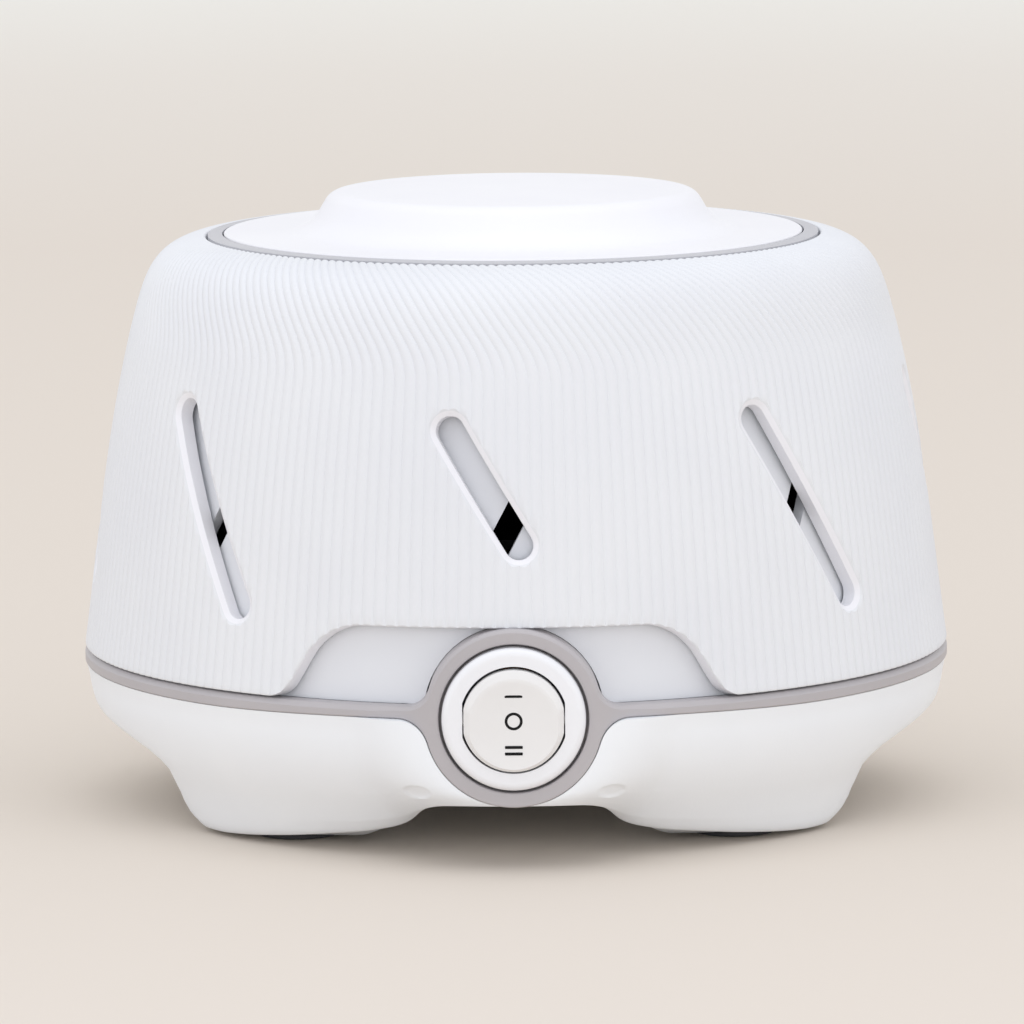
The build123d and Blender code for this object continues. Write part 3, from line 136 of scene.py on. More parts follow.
def encloses(loop, spot):
    """Whether a closed polyline runs round a point."""
    x, z = loop.T
    next_x, next_z = np.roll(x, -1), np.roll(z, -1)
    crosses = (z > spot[1]) != (next_z > spot[1])
    with np.errstate(divide="ignore", invalid="ignore"):
        where = (next_x - x) * (spot[1] - z) / (next_z - z) + x
    return np.count_nonzero(crosses & (spot[0] < where)) % 2 == 1


def grid_faces(rows, columns, first=0, wrap=True):
    """Quads of a grid of vertices, facing out where rows go up and columns go anticlockwise."""
    r, c = np.meshgrid(np.arange(rows - 1), np.arange(columns if wrap else columns - 1), indexing="ij")
    n = (c + 1) % columns
    quads = np.stack([r * columns + c, r * columns + n, (r + 1) * columns + n, (r + 1) * columns + c], -1)
    return (quads + first).reshape(-1, 4).tolist()


def shade(mesh, angle=SHARP):
    """Smooth shading with sharp edges over an angle in degrees."""
    mesh.polygons.foreach_set("use_smooth", [True] * len(mesh.polygons))
    mesh.set_sharp_from_angle(angle=radians(angle))


def make_object(name, points, faces, angle=SHARP):
    """A mesh object from points in millimetres."""
    mesh = bpy.data.meshes.new(name)
    mesh.from_pydata((np.asarray(points, float) * MM).tolist(), [], faces)
    mesh.update()
    shade(mesh, angle)
    piece = bpy.data.objects.new(name, mesh)
    bpy.context.scene.collection.objects.link(piece)
    return piece


def face_out(piece, merge=0.0):
    """Turns a closed piece's faces outwards, after points within merge millimetres are made one."""
    work = bmesh.new()
    work.from_mesh(piece.data)
    if merge:
        bmesh.ops.remove_doubles(work, verts=work.verts, dist=merge * MM)
    bmesh.ops.recalc_face_normals(work, faces=work.faces)
    work.to_mesh(piece.data)
    work.free()


def cut(piece, tool, solver="EXACT"):
    """Cuts a tool out of a piece and removes the tool."""
    modifier = piece.modifiers.new("cut", "BOOLEAN")
    modifier.object = tool
    modifier.operation = "DIFFERENCE"
    modifier.solver = solver
    bpy.context.view_layer.update()
    result = bpy.data.meshes.new_from_object(piece.evaluated_get(bpy.context.evaluated_depsgraph_get()))
    piece.modifiers.clear()
    old = piece.data
    piece.data = result
    result.name = piece.name
    bpy.data.meshes.remove(old)
    bpy.data.objects.remove(tool)
    shade(piece.data)


def join(name, pieces):
    """One object holding the meshes of several."""
    points, faces = [], []
    for piece in pieces:
        first = len(points)
        points.extend(tuple(v.co) for v in piece.data.vertices)
        faces.extend([first + i for i in p.vertices] for p in piece.data.polygons)
        bpy.data.objects.remove(piece)
    return make_object(name, np.array(points) / MM, faces)


def lathe(name, outline, columns, centre=(0, 0, 0)):
    """Turns an outline of (radius, height) round the vertical. It runs anticlockwise from axis to axis."""
    outline = np.asarray(outline, float)
    turn = np.arange(columns) * 2 * pi / columns
    rows = outline[1:-1]
    points = around(turn[None, :], rows[:, 0:1], rows[:, 1:2]).reshape(-1, 3)
    faces = grid_faces(len(rows), columns)
    low, high = len(points), len(points) + 1
    points = np.vstack([points, [(0, 0, outline[0, 1]), (0, 0, outline[-1, 1])]])
    last = (len(rows) - 1) * columns
    faces += [[low, (c + 1) % columns, c] for c in range(columns)]
    faces += [[last + c, last + (c + 1) % columns, high] for c in range(columns)]
    return make_object(name, points + np.array(centre, float), faces)


# ---------------- shell with swirling ribs
RIBS = 224
RIB_DEPTH = 0.28
RIB_SAMPLES = np.array([-0.40, -0.22, 0.0, 0.22, 0.40, 0.5])  # in rib widths from the crest
SWIRL_ANGLE = radians(33.5)
SWIRL_START, SWIRL_FULL = 50.0, 59.5  # along the outline
WALL = 3.1
OPENING_R = 51.7
FLANGE_R = 50.4
FLANGE_TOP, FLANGE_UNDER = 67.2, 65.83
EDGE_R = 0.5  # round the opening
FOOT_ROUND = 0.38  # round the lower edge
SHOULDER = (64.6, 53.3)
SIDE_CURVE = (BODY_R, 0), (70.7, 16.0), (69.3, 34.2), SHOULDER  # of the crests: (radius, z)
CROWN_CURVE = SHOULDER, (62.1, 63.0), (60.95, 67.9), (OPENING_R, 69.0)


def bezier(controls, t):
    """Points of a cubic Bezier curve at the parameters t."""
    t = t[:, None]
    p0, p1, p2, p3 = (np.array(p, float) for p in controls)
    return (1 - t) ** 3 * p0 + 3 * (1 - t) ** 2 * t * p1 + 3 * (1 - t) * t * t * p2 + t**3 * p3


samples = np.linspace(0, 1, 1200)
crest = np.concatenate([bezier(SIDE_CURVE, samples)[:-1], bezier(CROWN_CURVE, samples)])
crest_s = np.concatenate([[0], np.cumsum(np.hypot(*np.diff(crest, axis=0).T))])
tangent = unit(np.gradient(crest, crest_s, axis=0))
crest_normal = right_of(tangent)
swirl_slope = np.tan(SWIRL_ANGLE * smoothstep(SWIRL_START, SWIRL_FULL, crest_s)) / crest[:, 0]
swirl = -np.concatenate([[0], np.cumsum(np.diff(crest_s) * (swirl_slope[1:] + swirl_slope[:-1]) / 2)])
# where the crests' outline runs into the rounded edge of the opening
TOP_S = float(np.interp(-(OPENING_R + EDGE_R * 1.12), -crest[:, 0], crest_s))


def crest_at(s):
    """Points and outward normals of the crest outline at distances s, straight on below its start."""
    s = np.asarray(s, float)
    inside = np.clip(s, 0, crest_s[-1])
    point = np.stack([np.interp(inside, crest_s, crest[:, k]) for k in (0, 1)], -1)
    normal = np.stack([np.interp(inside, crest_s, crest_normal[:, k]) for k in (0, 1)], -1)
    below = np.minimum(s, 0)[..., None] * tangent[0]
    return point + below, normal


def swirl_at(s):
    """How far, in radians, the ribs have turned at distances s along the outline."""
    return np.interp(s, crest_s, swirl)


def s_of_z(z):
    """Distance along the crest outline of a height on its side."""
    return np.interp(z, crest[:, 1], crest_s)


def shell_outside():
    """Points of the ribbed outside, from the seam over the rounded edge down to the flange."""
    rows = [0.0, 0.06, 0.18, FOOT_ROUND]
    side, crown = np.linspace(1.2, SWIRL_START - 2, 15), np.linspace(SWIRL_START - 1, TOP_S, 38)
    rows_s = np.concatenate([rows, side, crown])
    point, normal = crest_at(rows_s)
    foot = np.clip(FOOT_ROUND - rows_s, 0, None)
    point = point - normal * (FOOT_ROUND - np.sqrt(FOOT_ROUND**2 - foot**2))[:, None]
    point[0, 1] = 0.0
    centre = point[-1] - normal[-1] * EDGE_R
    edge = arc_points(centre, EDGE_R, atan2(normal[-1][1], normal[-1][0]), pi, 16)[1:]
    edge_normal = (edge - centre) / EDGE_R
    edge[:, 0] += OPENING_R - edge[-1, 0]
    wall = np.array([(OPENING_R, FLANGE_TOP + 0.6), (OPENING_R, FLANGE_TOP)])
    profile = np.concatenate([point, edge, wall])
    normals = np.concatenate([normal, edge_normal, [(-1, 0), (-1, 0)]])
    places = np.concatenate([rows_s, np.full(len(edge) + len(wall), TOP_S)])
    depth = np.full(len(profile), RIB_DEPTH)
    depth[-1] = 0.0
    phase = np.tile(RIB_SAMPLES, RIBS)
    azimuth = (np.repeat(np.arange(RIBS), len(RIB_SAMPLES)) + phase) * 2 * pi / RIBS
    groove = (2 * phase) ** 2
    sunk = depth[:, None] * groove[None, :]
    radius = profile[:, 0:1] - normals[:, 0:1] * sunk
    height = profile[:, 1:2] - normals[:, 1:2] * sunk
    outside = around(azimuth[None, :] + swirl_at(places)[:, None], radius, height + SEAM_Z)
    outside[0, :, 2] = SEAM_Z
    return outside


def shell_inside():
    """Points of the smooth inside, one column to a rib, up to the flange under the retaining ring."""
    rows_s = np.concatenate([[0.0], np.linspace(4, 50, 8), np.linspace(53, TOP_S - 3, 12)])
    wall, normal = crest_at(rows_s)
    wall = wall - normal * WALL
    wall[0, 1] = 0.0
    wall = np.concatenate([wall, [(FLANGE_R, FLANGE_UNDER), (FLANGE_R, FLANGE_TOP)]])
    places = np.concatenate([rows_s, [TOP_S, TOP_S]])
    azimuth = (np.arange(RIBS) - 0.5) * 2 * pi / RIBS
    return around(azimuth[None, :] + swirl_at(places)[:, None], wall[:, 0:1], wall[:, 1:2] + SEAM_Z)


def ribbed_shell():
    """The whole shell without its openings."""
    outside, inside = shell_outside(), shell_inside()
    columns, width = outside.shape[1], len(RIB_SAMPLES)
    low_in = outside.shape[0] * columns
    top_in, top_out = low_in + (len(inside) - 1) * RIBS, low_in - columns
    faces = grid_faces(len(outside), columns)
    faces += [quad[::-1] for quad in grid_faces(len(inside), RIBS, low_in)]
    for rib in range(RIBS):
        after = (rib + 1) % RIBS
        rim = [(rib * width - 1 + k) % columns for k in range(width + 1)]
        faces.append([low_in + rib, low_in + after] + rim[::-1])
        faces.append([top_in + after, top_in + rib] + [top_out + c for c in rim])
    points = np.concatenate([outside.reshape(-1, 3), inside.reshape(-1, 3)])
    return make_object("ribbed_shell", points, faces)


SLOT_HALF = 2.4
SLOT_LIP, SLOT_LIP_DEPTH = 1.2, 0.9  # width and depth of the bevel round a slot
SLOT_TOP = (-8.65, 43.75)  # azimuth and height of the upper end's centre
SLOT_BOTTOM = (5.6, 14.1)
SHORT_SLOT_BOTTOM = (0.85, 25.55)  # of the slot over the switch
SLOT_LEVELS = (-1.5, -0.04, 0.3, 0.6, 0.8, 0.9, 1.1, WALL + 1.2)  # depths under the crests


def slot_tool(turn, bottom):
    """A slot's cutter: a stadium in azimuth and outline distance, wider at the bevel round it."""
    top = np.array((radians(SLOT_TOP[0] + turn), s_of_z(SLOT_TOP[1])))
    foot = np.array((radians(bottom[0] + turn), s_of_z(bottom[1])))
    steps = 20
    line = foot + (top - foot) * np.linspace(0, 1, steps)[:, None]
    radius = crest_at(line[:, 1])[0][:, 0]
    way = unit(np.stack([radius * (top - foot)[0], np.full(steps, (top - foot)[1])], -1))
    side = right_of(way)
    bend = np.linspace(0, pi, 17)[1:-1, None]
    top_end = np.cos(bend) * side[-1] + np.sin(bend) * way[-1]
    foot_end = -np.cos(bend) * side[0] - np.sin(bend) * way[0]
    tops, feet = np.repeat(line[-1:], len(bend), 0), np.repeat(line[:1], len(bend), 0)
    spine = np.concatenate([line, tops, line[::-1], feet])
    offset = np.concatenate([side, top_end, -side[::-1], foot_end])
    levels = []
    for depth in SLOT_LEVELS:
        width = SLOT_HALF + SLOT_LIP * max(0.0, 1 - depth / SLOT_LIP_DEPTH)
        here = spine + offset * width / np.stack([crest_at(spine[:, 1])[0][:, 0], np.ones(len(spine))], -1)
        point, normal = crest_at(here[:, 1])
        point = point - normal * depth
        levels.append(around(here[:, 0], point[:, 0], point[:, 1] + SEAM_Z))
    count = len(spine)
    points = np.concatenate(levels + [levels[0].mean(0)[None], levels[-1].mean(0)[None]])
    faces = [quad[::-1] for quad in grid_faces(len(levels), count)]
    last, centre = (len(levels) - 1) * count, len(levels) * count
    faces += [[centre, c, (c + 1) % count] for c in range(count)]
    faces += [[centre + 1, last + (c + 1) % count, last + c] for c in range(count)]
    return make_object("slot_tool", points, faces)


CUT_MIDDLE = radians(-1.45)  # azimuth of the cut-out's middle
CUT_ARC_R = 72.0  # radius on which its widths are measured
CUT_TOP = 12.35
CUT_SIDE = (37.35, 0.6)  # half width at the seam, and how fast it narrows going up
CUT_TOP_ROUND = 11.5
CUT_FOOT_ROUND = 5.5
CUT_ROUND = 0.5
CUT_WIDE = 45.0  # half width of the cutter under the seam
CUT_COLUMNS = 61
CUT_LEVELS = (-1.5, -0.03, 0.02, 0.08, 0.16, 0.28, 0.5, WALL + 1.2)  # depths under the crests


def round_over(depth, radius):
    """How much wider an opening is, at a depth, for its rounded edge."""
    left = np.clip(radius - depth, 0, radius)
    return radius - np.sqrt(radius**2 - left**2)


def window_edge():
    """The cut-out's right edge going up as (half width, z), and its outward directions."""
    corners = [
        (CUT_WIDE, -3.0, 0),
        (CUT_WIDE, -0.02, 0),
        (CUT_SIDE[0], -0.02, CUT_FOOT_ROUND),
        (CUT_SIDE[0] - CUT_SIDE[1] * CUT_TOP, CUT_TOP, CUT_TOP_ROUND),
        (0.0, CUT_TOP, 0),
    ]
    edge = rounded(corners, closed=False, step=6)[:-1]
    out = right_of(unit(np.gradient(edge, axis=0)))
    out[-1] = (0, 1)
    out[:2] = 0
    return edge, out


def window_tool():
    """Cutter of the shell's cut-out round the switch, as rows of half widths."""
    edge, out = window_edge()
    rows, columns = len(edge), CUT_COLUMNS
    across = np.linspace(-1, 1, columns)
    cell = np.arange(rows * columns).reshape(rows, columns)
    rim = np.concatenate([cell[0], cell[1:, -1], cell[-1, -2::-1], cell[-2:0:-1, 0]])
    grids = []
    for depth in CUT_LEVELS:
        wide = round_over(max(depth, 0.0), CUT_ROUND) + (0.05 if depth < 0 else 0)
        wide = wide * smoothstep(0.5, 3.0, edge[:, 1])
        half = edge[:, 0] + out[:, 0] * wide
        height = edge[:, 1] + out[:, 1] * wide
        point, normal = crest_at(np.where(height > 0, s_of_z(height), height))
        point = point - normal * depth
        azimuth = CUT_MIDDLE + half[:, None] * across[None, :] / CUT_ARC_R
        grids.append(around(azimuth, point[:, 0:1], point[:, 1:2] + SEAM_Z).reshape(-1, 3))
    # the whole grid at both ends, and only its rim at the levels between
    points = np.concatenate([grids[0]] + [grid[rim] for grid in grids[1:-1]] + [grids[-1]])
    last = len(points) - cell.size
    faces = grid_faces(rows, columns, 0, wrap=False)
    faces += [quad[::-1] for quad in grid_faces(rows, columns, last, wrap=False)]
    between = np.arange(cell.size, last).reshape(-1, len(rim))
    rings = [rim, *between, last + rim]
    for near, far in zip(rings, rings[1:]):
        faces += np.stack([np.roll(near, -1), near, far, np.roll(far, -1)], -1).tolist()
    return make_object("window_tool", points, faces)


shell = ribbed_shell()
tools = [slot_tool(45 * k, SLOT_BOTTOM if k else SHORT_SLOT_BOTTOM) for k in range(8)]
cut(shell, join("shell_tools", tools + [window_tool()]), solver="MANIFOLD")
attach(shell, "shell")
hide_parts("outer_shell")


# ---------------- cap
BRIM_R = 48.7
BRIM_UP = 69.4  # top of the brim above the seam
HAT_UP = 7.1  # top of the raised middle above the brim
CAP_WALL = 2.0
HUB_R, HUB_END = 7.0, 66.0
POST_R, POST_END = 5.0, 61.55
BORE_R, BORE_TOP = 1.26, 66.2
CAP_OUTLINE = [  # (radius, z, rounding)
    (0.0, BORE_TOP, 0), (BORE_R, BORE_TOP, 0), (BORE_R, POST_END, 0),
    (POST_R, POST_END, 0.3), (POST_R, HUB_END, 0), (HUB_R, HUB_END, 0),
    (HUB_R, BRIM_UP + HAT_UP - CAP_WALL, 0.5),
    (28.6, BRIM_UP + 6.8 - CAP_WALL, 2.5),
    (32.2, BRIM_UP - 0.5, 1.5),
    (32.2, BRIM_UP - CAP_WALL, 0.3),
    (BRIM_R, BRIM_UP - CAP_WALL, 0.35),
    (BRIM_R, BRIM_UP, 0.35),
    (34.6, BRIM_UP, 6.5),
    (30.7, BRIM_UP + 6.75, 3.2),
    (27.0, BRIM_UP + 6.77, 0),
    (14.0, BRIM_UP + 7.0, 0),
    (5.0, BRIM_UP + 7.09, 0),
    (0.0, BRIM_UP + HAT_UP, 0),
]
cap = lathe("top_cap", rounded(CAP_OUTLINE, closed=False, step=6) + np.array((0, SEAM_Z)), 288)
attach(cap, "top")
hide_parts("cap")


# ---------------- bezel outline, shared by trim band and base
BEZEL_R = 14.45
BAND_TOP, BAND_BOTTOM = -0.4, -2.7
BASE_TOP = -2.78
FLARE_UPPER, FLARE_LOWER = 4.0, 5.0
LOW_EDGE_RISE = 0.4
FLAT_FRONT = (12, 20)  # between these distances from the middle the flat front turns round


def bezel_edge(reach, grow=0.0):
    """Upper and lower edge of the bezel with its flares, from reach to -reach, as (x, z) polylines."""
    radius = BEZEL_R + grow
    edges = []
    for up, level, flare in ((1, BAND_TOP, FLARE_UPPER), (-1, BAND_BOTTOM, FLARE_LOWER)):
        level, flare = level + up * grow, flare - grow
        rise = level + up * flare - BEZEL_Z
        reach_x = sqrt((radius + flare) ** 2 - rise**2)
        touch = atan2(rise, reach_x)
        centre = (reach_x, BEZEL_Z + rise)
        into = arc_points(centre, flare, -up * pi / 2, -up * pi / 2 - up * (pi / 2 - abs(touch)), 5)
        over = arc_points((0, BEZEL_Z), radius, touch, up * pi / 2, 2.5)
        half = np.concatenate([[(reach, level)], into, over[1:]])
        edges.append(np.concatenate([half, half[-2::-1] * np.array((-1, 1))]))
    return edges


def to_arc(line):
    """(x, z) on the front seen straight on, as (arc distance, z)."""
    return np.stack([BODY_R * np.arcsin(line[:, 0] / BODY_R), line[:, 1]], -1)


def low_edge_rise(x_arc, z):
    """How much higher the band's lower edge and the base's rim lie in front than at the sides."""
    return LOW_EDGE_RISE * (1 - smoothstep(24, 58, np.abs(x_arc))) * smoothstep(-6.5, BASE_TOP, z)


# ---------------- trim band with the bezel and the switch's cup
BAND_CHAMFER, BEZEL_CHAMFER, LOWER_CHAMFER = 0.8, 0.5, 0.2
# shares of the chamfer's size, in and down
CHAMFER = [(0, 1), (0.06, 0.88), (0.16, 0.77), (0.5, 0.44), (0.84, 0.11), (0.94, 0.04), (1, 0)]
CHAMFER_MARGIN = 0.06  # flat strip between a chamfer and the face
BAND_DEEP, BEZEL_DEEP = 3.4, 8.0
CUP_R = 12.1
CUP_ROUND = 0.3
CUP_DEPTH = 1.2
CUP_COLUMNS = 144
PANEL_T = 2.0
GROOVE_R, GROOVE_DEPTH = 11.65, 2.6
HOLE_R = 10.1
FRONT_REACH = 48.0  # half width of the band's front part
BACK_COLUMNS = 200
# inner points of the faces: half width and pitch across, range and pitch up, room to the cup and the chamfer
FILL_REACH, FILL_X, FILL_Z, FILL_ROOM = 44, 1.6, (-17, 13, 1.4), (0.5, 0.42)


class Draft:
    """Points and faces of a mesh that grows row by row."""

    def __init__(self):
        self.points, self.faces = [], []

    def add(self, new):
        """Adds points and gives their numbers."""
        first = sum(len(p) for p in self.points)
        self.points.append(np.asarray(new, float))
        return list(range(first, first + len(new)))

    def bridge(self, near, far, columns):
        """Quads between two rows, for this many columns. A row as long as that closes into a ring."""
        count = len(near)
        for i in range(columns):
            j = (i + 1) % count
            self.faces.append([near[i], near[j], far[j], far[i]])


def band_point(x_arc, z, drop):
    """A point of the band at an arc distance from the front, sunk by drop; flat in front of the switch."""
    azimuth = np.asarray(x_arc, float) / BODY_R
    turn = smoothstep(*FLAT_FRONT, np.abs(x_arc))
    depth = BODY_R * (1 - turn) + BODY_R * np.cos(azimuth) * turn
    x = BODY_R * np.sin(azimuth) - drop * np.sin(azimuth * turn)
    return np.stack([x, -depth + drop * np.cos(azimuth * turn), z + SEAM_Z + 0 * azimuth], -1)


def band_depth(x_arc):
    """How deep the band is from front to back, deeper at the bezel."""
    return BEZEL_DEEP + (BAND_DEEP - BEZEL_DEEP) * smoothstep(14, 19, np.abs(x_arc))


def chamfer_rows(size):
    """Rows of a chamfer: how far in from the edge, and how far down."""
    return [(size * share, size * down) for share, down in CHAMFER] + [(size + CHAMFER_MARGIN, 0 * size)]


def cup_ring(radius, drop):
    """A circle round the switch, sunk by drop: its (arc distance, z) line and its points."""
    turn = np.linspace(0, 2 * pi, CUP_COLUMNS + 1)[:-1]
    line = to_arc(np.stack([radius * np.cos(turn), BEZEL_Z + radius * np.sin(turn)], -1))
    return line, band_point(*line.T, drop)


def band_edges(draft):
    """The chamfered edges of the band's front. Gives the rows that border its faces as (points, line)."""
    upper, lower = (dense(line) for line in bezel_edge(FRONT_REACH))
    top_line = to_arc(upper)  # right to left
    low_line = to_arc(lower)[::-1]  # left to right
    low_line[:, 1] += low_edge_rise(*low_line.T)
    top_size = BEZEL_CHAMFER + (BAND_CHAMFER - BEZEL_CHAMFER) * smoothstep(16, 24, np.abs(top_line[:, 0]))
    front, back = [], []
    for line, size in ((low_line, np.full(len(low_line), LOWER_CHAMFER)), (top_line, top_size)):
        rows = [draft.add(band_point(*line.T, band_depth(line[:, 0])))]
        for step, drop in chamfer_rows(size):
            moved = inset(line, step[:, None])
            moved[0, 0], moved[-1, 0] = line[0, 0], line[-1, 0]
            rows.append(draft.add(band_point(*moved.T, drop)))
        for near, far in zip(rows, rows[1:]):
            draft.bridge(near, far, len(line) - 1)
        front.append((rows[-1], moved))
        back.append((rows[0], line))
    return front, back


def fill_points(ring_r):
    """Points spread over the bezel and along the band, so that the face between its edges stays smooth."""
    fill = []
    for k, x in enumerate(np.arange(-FILL_REACH, FILL_REACH + 0.1, FILL_X)):
        fill.extend((x, z + (k % 2) * FILL_Z[2] / 2) for z in np.arange(*FILL_Z))
    fill = np.array(fill)
    away = np.hypot(BODY_R * np.sin(fill[:, 0] / BODY_R), fill[:, 1] - BEZEL_Z)
    fill = fill[(away > ring_r + FILL_ROOM[0]) & (away < BEZEL_R - BEZEL_CHAMFER - FILL_ROOM[1])]
    middle = np.arange(-FRONT_REACH + 1, FRONT_REACH, 2.0)
    middle = middle[np.abs(middle) > 17.5]
    return np.concatenate([fill, np.stack([middle, np.full(len(middle), (BAND_TOP + BAND_BOTTOM) / 2)], -1)])


def band_face(draft, edges, front):
    """Fills the band's front or back between its edges and round the cup. Gives the cup's ring."""
    ring_r = CUP_R + (CUP_ROUND if front else 0)
    hole, hole_points = cup_ring(ring_r, 0.0 if front else BEZEL_DEEP)
    (low_ids, low), (top_ids, top) = edges
    outline, outline_ids = np.concatenate([low, top]), low_ids + top_ids
    count = len(outline)
    borders = [(i, (i + 1) % count) for i in range(count)]
    borders += [(count + i, count + (i + 1) % len(hole)) for i in range(len(hole))]
    flat = np.concatenate([outline, hole, fill_points(ring_r)])
    made = geometry.delaunay_2d_cdt([Vector(p) for p in flat], borders, [], 0, 1e-5)
    spots, triangles, sources = np.array([tuple(v) for v in made[0]]), made[2], made[3]
    hole_ids = draft.add(hole_points)
    ids = []
    for spot, source in zip(spots, sources):
        if source and source[0] < count:
            ids.append(outline_ids[source[0]])
        elif source and source[0] < count + len(hole):
            ids.append(hole_ids[source[0] - count])
        else:
            sunk = 0.0 if front else float(band_depth(spot[0]))
            ids.append(draft.add(band_point(spot[0:1], spot[1:2], sunk))[0])
    for triangle in triangles:
        middle = spots[list(triangle)].mean(0)
        in_cup = np.hypot(BODY_R * sin(middle[0] / BODY_R), middle[1] - BEZEL_Z) < ring_r
        if not in_cup and encloses(outline, middle):
            corner = [ids[i] for i in triangle]
            draft.faces.append(corner if front else corner[::-1])
    return hole_ids


def switch_cup(draft, front_ring, back_ring):
    """The cup the switch sits in: rounded rim, wall, panel with the switch's hole, and the bore behind it."""
    steps = []
    for turn in np.radians((25, 50, 70, 90)):
        steps.append((CUP_R + CUP_ROUND * (1 - sin(turn)), CUP_ROUND * (1 - cos(turn))))
    steps += [(CUP_R, GROOVE_DEPTH), (GROOVE_R, GROOVE_DEPTH), (GROOVE_R, CUP_DEPTH), (HOLE_R, CUP_DEPTH)]
    steps += [(HOLE_R, CUP_DEPTH + PANEL_T), (CUP_R, CUP_DEPTH + PANEL_T)]
    rings = [front_ring] + [draft.add(cup_ring(radius, drop)[1]) for radius, drop in steps] + [back_ring]
    for near, far in zip(rings, rings[1:]):
        draft.bridge(near, far, CUP_COLUMNS)


def band_back(draft):
    """The rest of the band, round the back, as one section swept along it."""
    reach = BODY_R * asin(FRONT_REACH / BODY_R)
    azimuth = np.linspace(reach, 2 * pi * BODY_R - reach, BACK_COLUMNS) / BODY_R
    low = [(BAND_BOTTOM, BAND_DEEP)]
    low += [(BAND_BOTTOM + step, drop) for step, drop in chamfer_rows(LOWER_CHAMFER)]
    top = [(BAND_TOP - step, drop) for step, drop in chamfer_rows(BAND_CHAMFER)[::-1]]
    level, sunk = np.array([*low, *top, (BAND_TOP, BAND_DEEP)]).T
    level = level[None, :] + 0 * azimuth[:, None]
    from_front = BODY_R * np.minimum(azimuth, 2 * pi - azimuth)
    level[:, : len(low)] += low_edge_rise(from_front, BAND_BOTTOM)[:, None]
    band = around(azimuth[:, None], BODY_R - sunk[None, :], level + SEAM_Z)
    first, size = draft.add(band.reshape(-1, 3))[0], len(sunk)
    for i in range(BACK_COLUMNS - 1):
        for j in range(size):
            a, b = first + i * size + j, first + i * size + (j + 1) % size
            draft.faces.append([a, a + size, b + size, b])


def trim_and_bezel():
    """The whole band, from its four parts."""
    draft = Draft()
    front, back = band_edges(draft)
    front_ring = band_face(draft, front, True)
    back_ring = band_face(draft, back, False)
    switch_cup(draft, front_ring, back_ring)
    band_back(draft)
    piece = make_object("trim_bezel", np.concatenate(draft.points), draft.faces)
    face_out(piece, merge=0.004)
    shade(piece.data, 50)
    return piece


trim = trim_and_bezel()
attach(trim, "housing")
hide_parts("trim_band")


# ---------------- base with four feet
FOOT_BOTTOM = -26.4
ARCH_UNDER = -18.3
ROWS_SIDE, ROWS_END = 46, 40
BASE_COLUMNS = 1080
# outlines as (radius, z): over the middle of an arch, how it ends under the arch, and down a foot
ARCH_SIDE = [(72.8, BASE_TOP), (72.35, -4.8), (72.0, -6.9), (71.5, -8.9), (70.6, -11.0), (69.0, -13.1),
             (67.1, -15.1)]
ARCH_END = [(67.1, -15.1, 0), (65.5, -16.3, 0), (63.7, -17.3, 0), (61.6, ARCH_UNDER, 1.6),
            (60.0, ARCH_UNDER, 0), (57.5, ARCH_UNDER, 0)]
FOOT_SIDE = [(72.8, BASE_TOP), (72.35, -4.8), (72.0, -6.9), (71.45, -9.0), (70.6, -11.3), (69.4, -13.8),
             (67.9, -16.3), (66.3, -18.8), (64.95, -21.3), (63.9, -23.6), (63.2, -25.2), (62.4, -26.2),
             (61.2, FOOT_BOTTOM)]
# how far each foot has come down along the rim, against the distance, on the circle of ARCH_R, from the
# front-to-back and the side-to-side axis
ARCH_R = 62
FRONT_ARCH = [(9.5, 0), (11.5, 0.02), (14.9, 0.18), (15.9, 0.25), (17.6, 0.385), (19.9, 0.5), (22, 0.555),
              (24.8, 0.63), (30.3, 0.72), (36.4, 0.83), (43.7, 0.95), (47.7, 1)]
SIDE_ARCH = [(10, 0), (16, 0.1), (22, 0.32), (26, 0.55), (29.4, 0.78), (31.8, 0.93), (34, 1)]
# half width of the base from side to side, against the height
WAIST = [(-26.4, 51.95), (-25.2, 53.45), (-24, 55.0), (-22.5, 55.8), (-21, 56.1), (-19.5, 56.7), (-18, 57.2),
         (-16.5, 57.75), (-15, 59.25), (-13.5, 61.5), (-12, 65.3), (-10.5, 69.5), (-9, 73.75)]
WAIST_SHARP, WAIST_R = 1.2, 60  # how sharply the waist sets in, and the radius it is worked out about
SEAT_FACE = 72.85  # flat moulding that carries the bezel
SEAT_FADE = (14.6, 27.0)  # between these distances from the switch's axis it fades into the bowl
GLAND_Z, GLAND_FACE, GLAND_HOLE_R = 16.5, 71.5, 5.25
GLAND_FADE = (7.7, 13.5)
DIMPLE_SIDE, DIMPLE_Z, DIMPLE_R = 12.6, -14.4, 66.8  # degrees from an arch's middle, height and radius
DIMPLE_HALF, DIMPLE_DEPTH = (2.2, 1.2), 0.55
# the underside's rows, as shares of the rim's radius
UNDER_SHARES = np.concatenate([np.linspace(0.985, 0.2, 46), [0.1]])
BOWL_FLOOR = -15.4
BOWL = [(69.2, BASE_TOP), (69.4, -6.5), (68.4, -10), (66, -12.6), (62, -14.6), (56, -15.3), (20, BOWL_FLOOR),
        (6, BOWL_FLOOR)]


def curve_through(points, count):
    """A smooth curve (Catmull-Rom) through points, resampled evenly."""
    p = np.array([points[0]] + list(points) + [points[-1]], float)
    t = np.linspace(0, 1, 24, endpoint=False)[:, None]
    parts = []
    for a, b, c, d in zip(p, p[1:], p[2:], p[3:]):
        bend, twist = 2 * a - 5 * b + 4 * c - d, 3 * b - a - 3 * c + d
        parts.append(0.5 * (2 * b + (c - a) * t + bend * t**2 + twist * t**3))
    return along(np.concatenate(parts + [p[-1:]]), count)


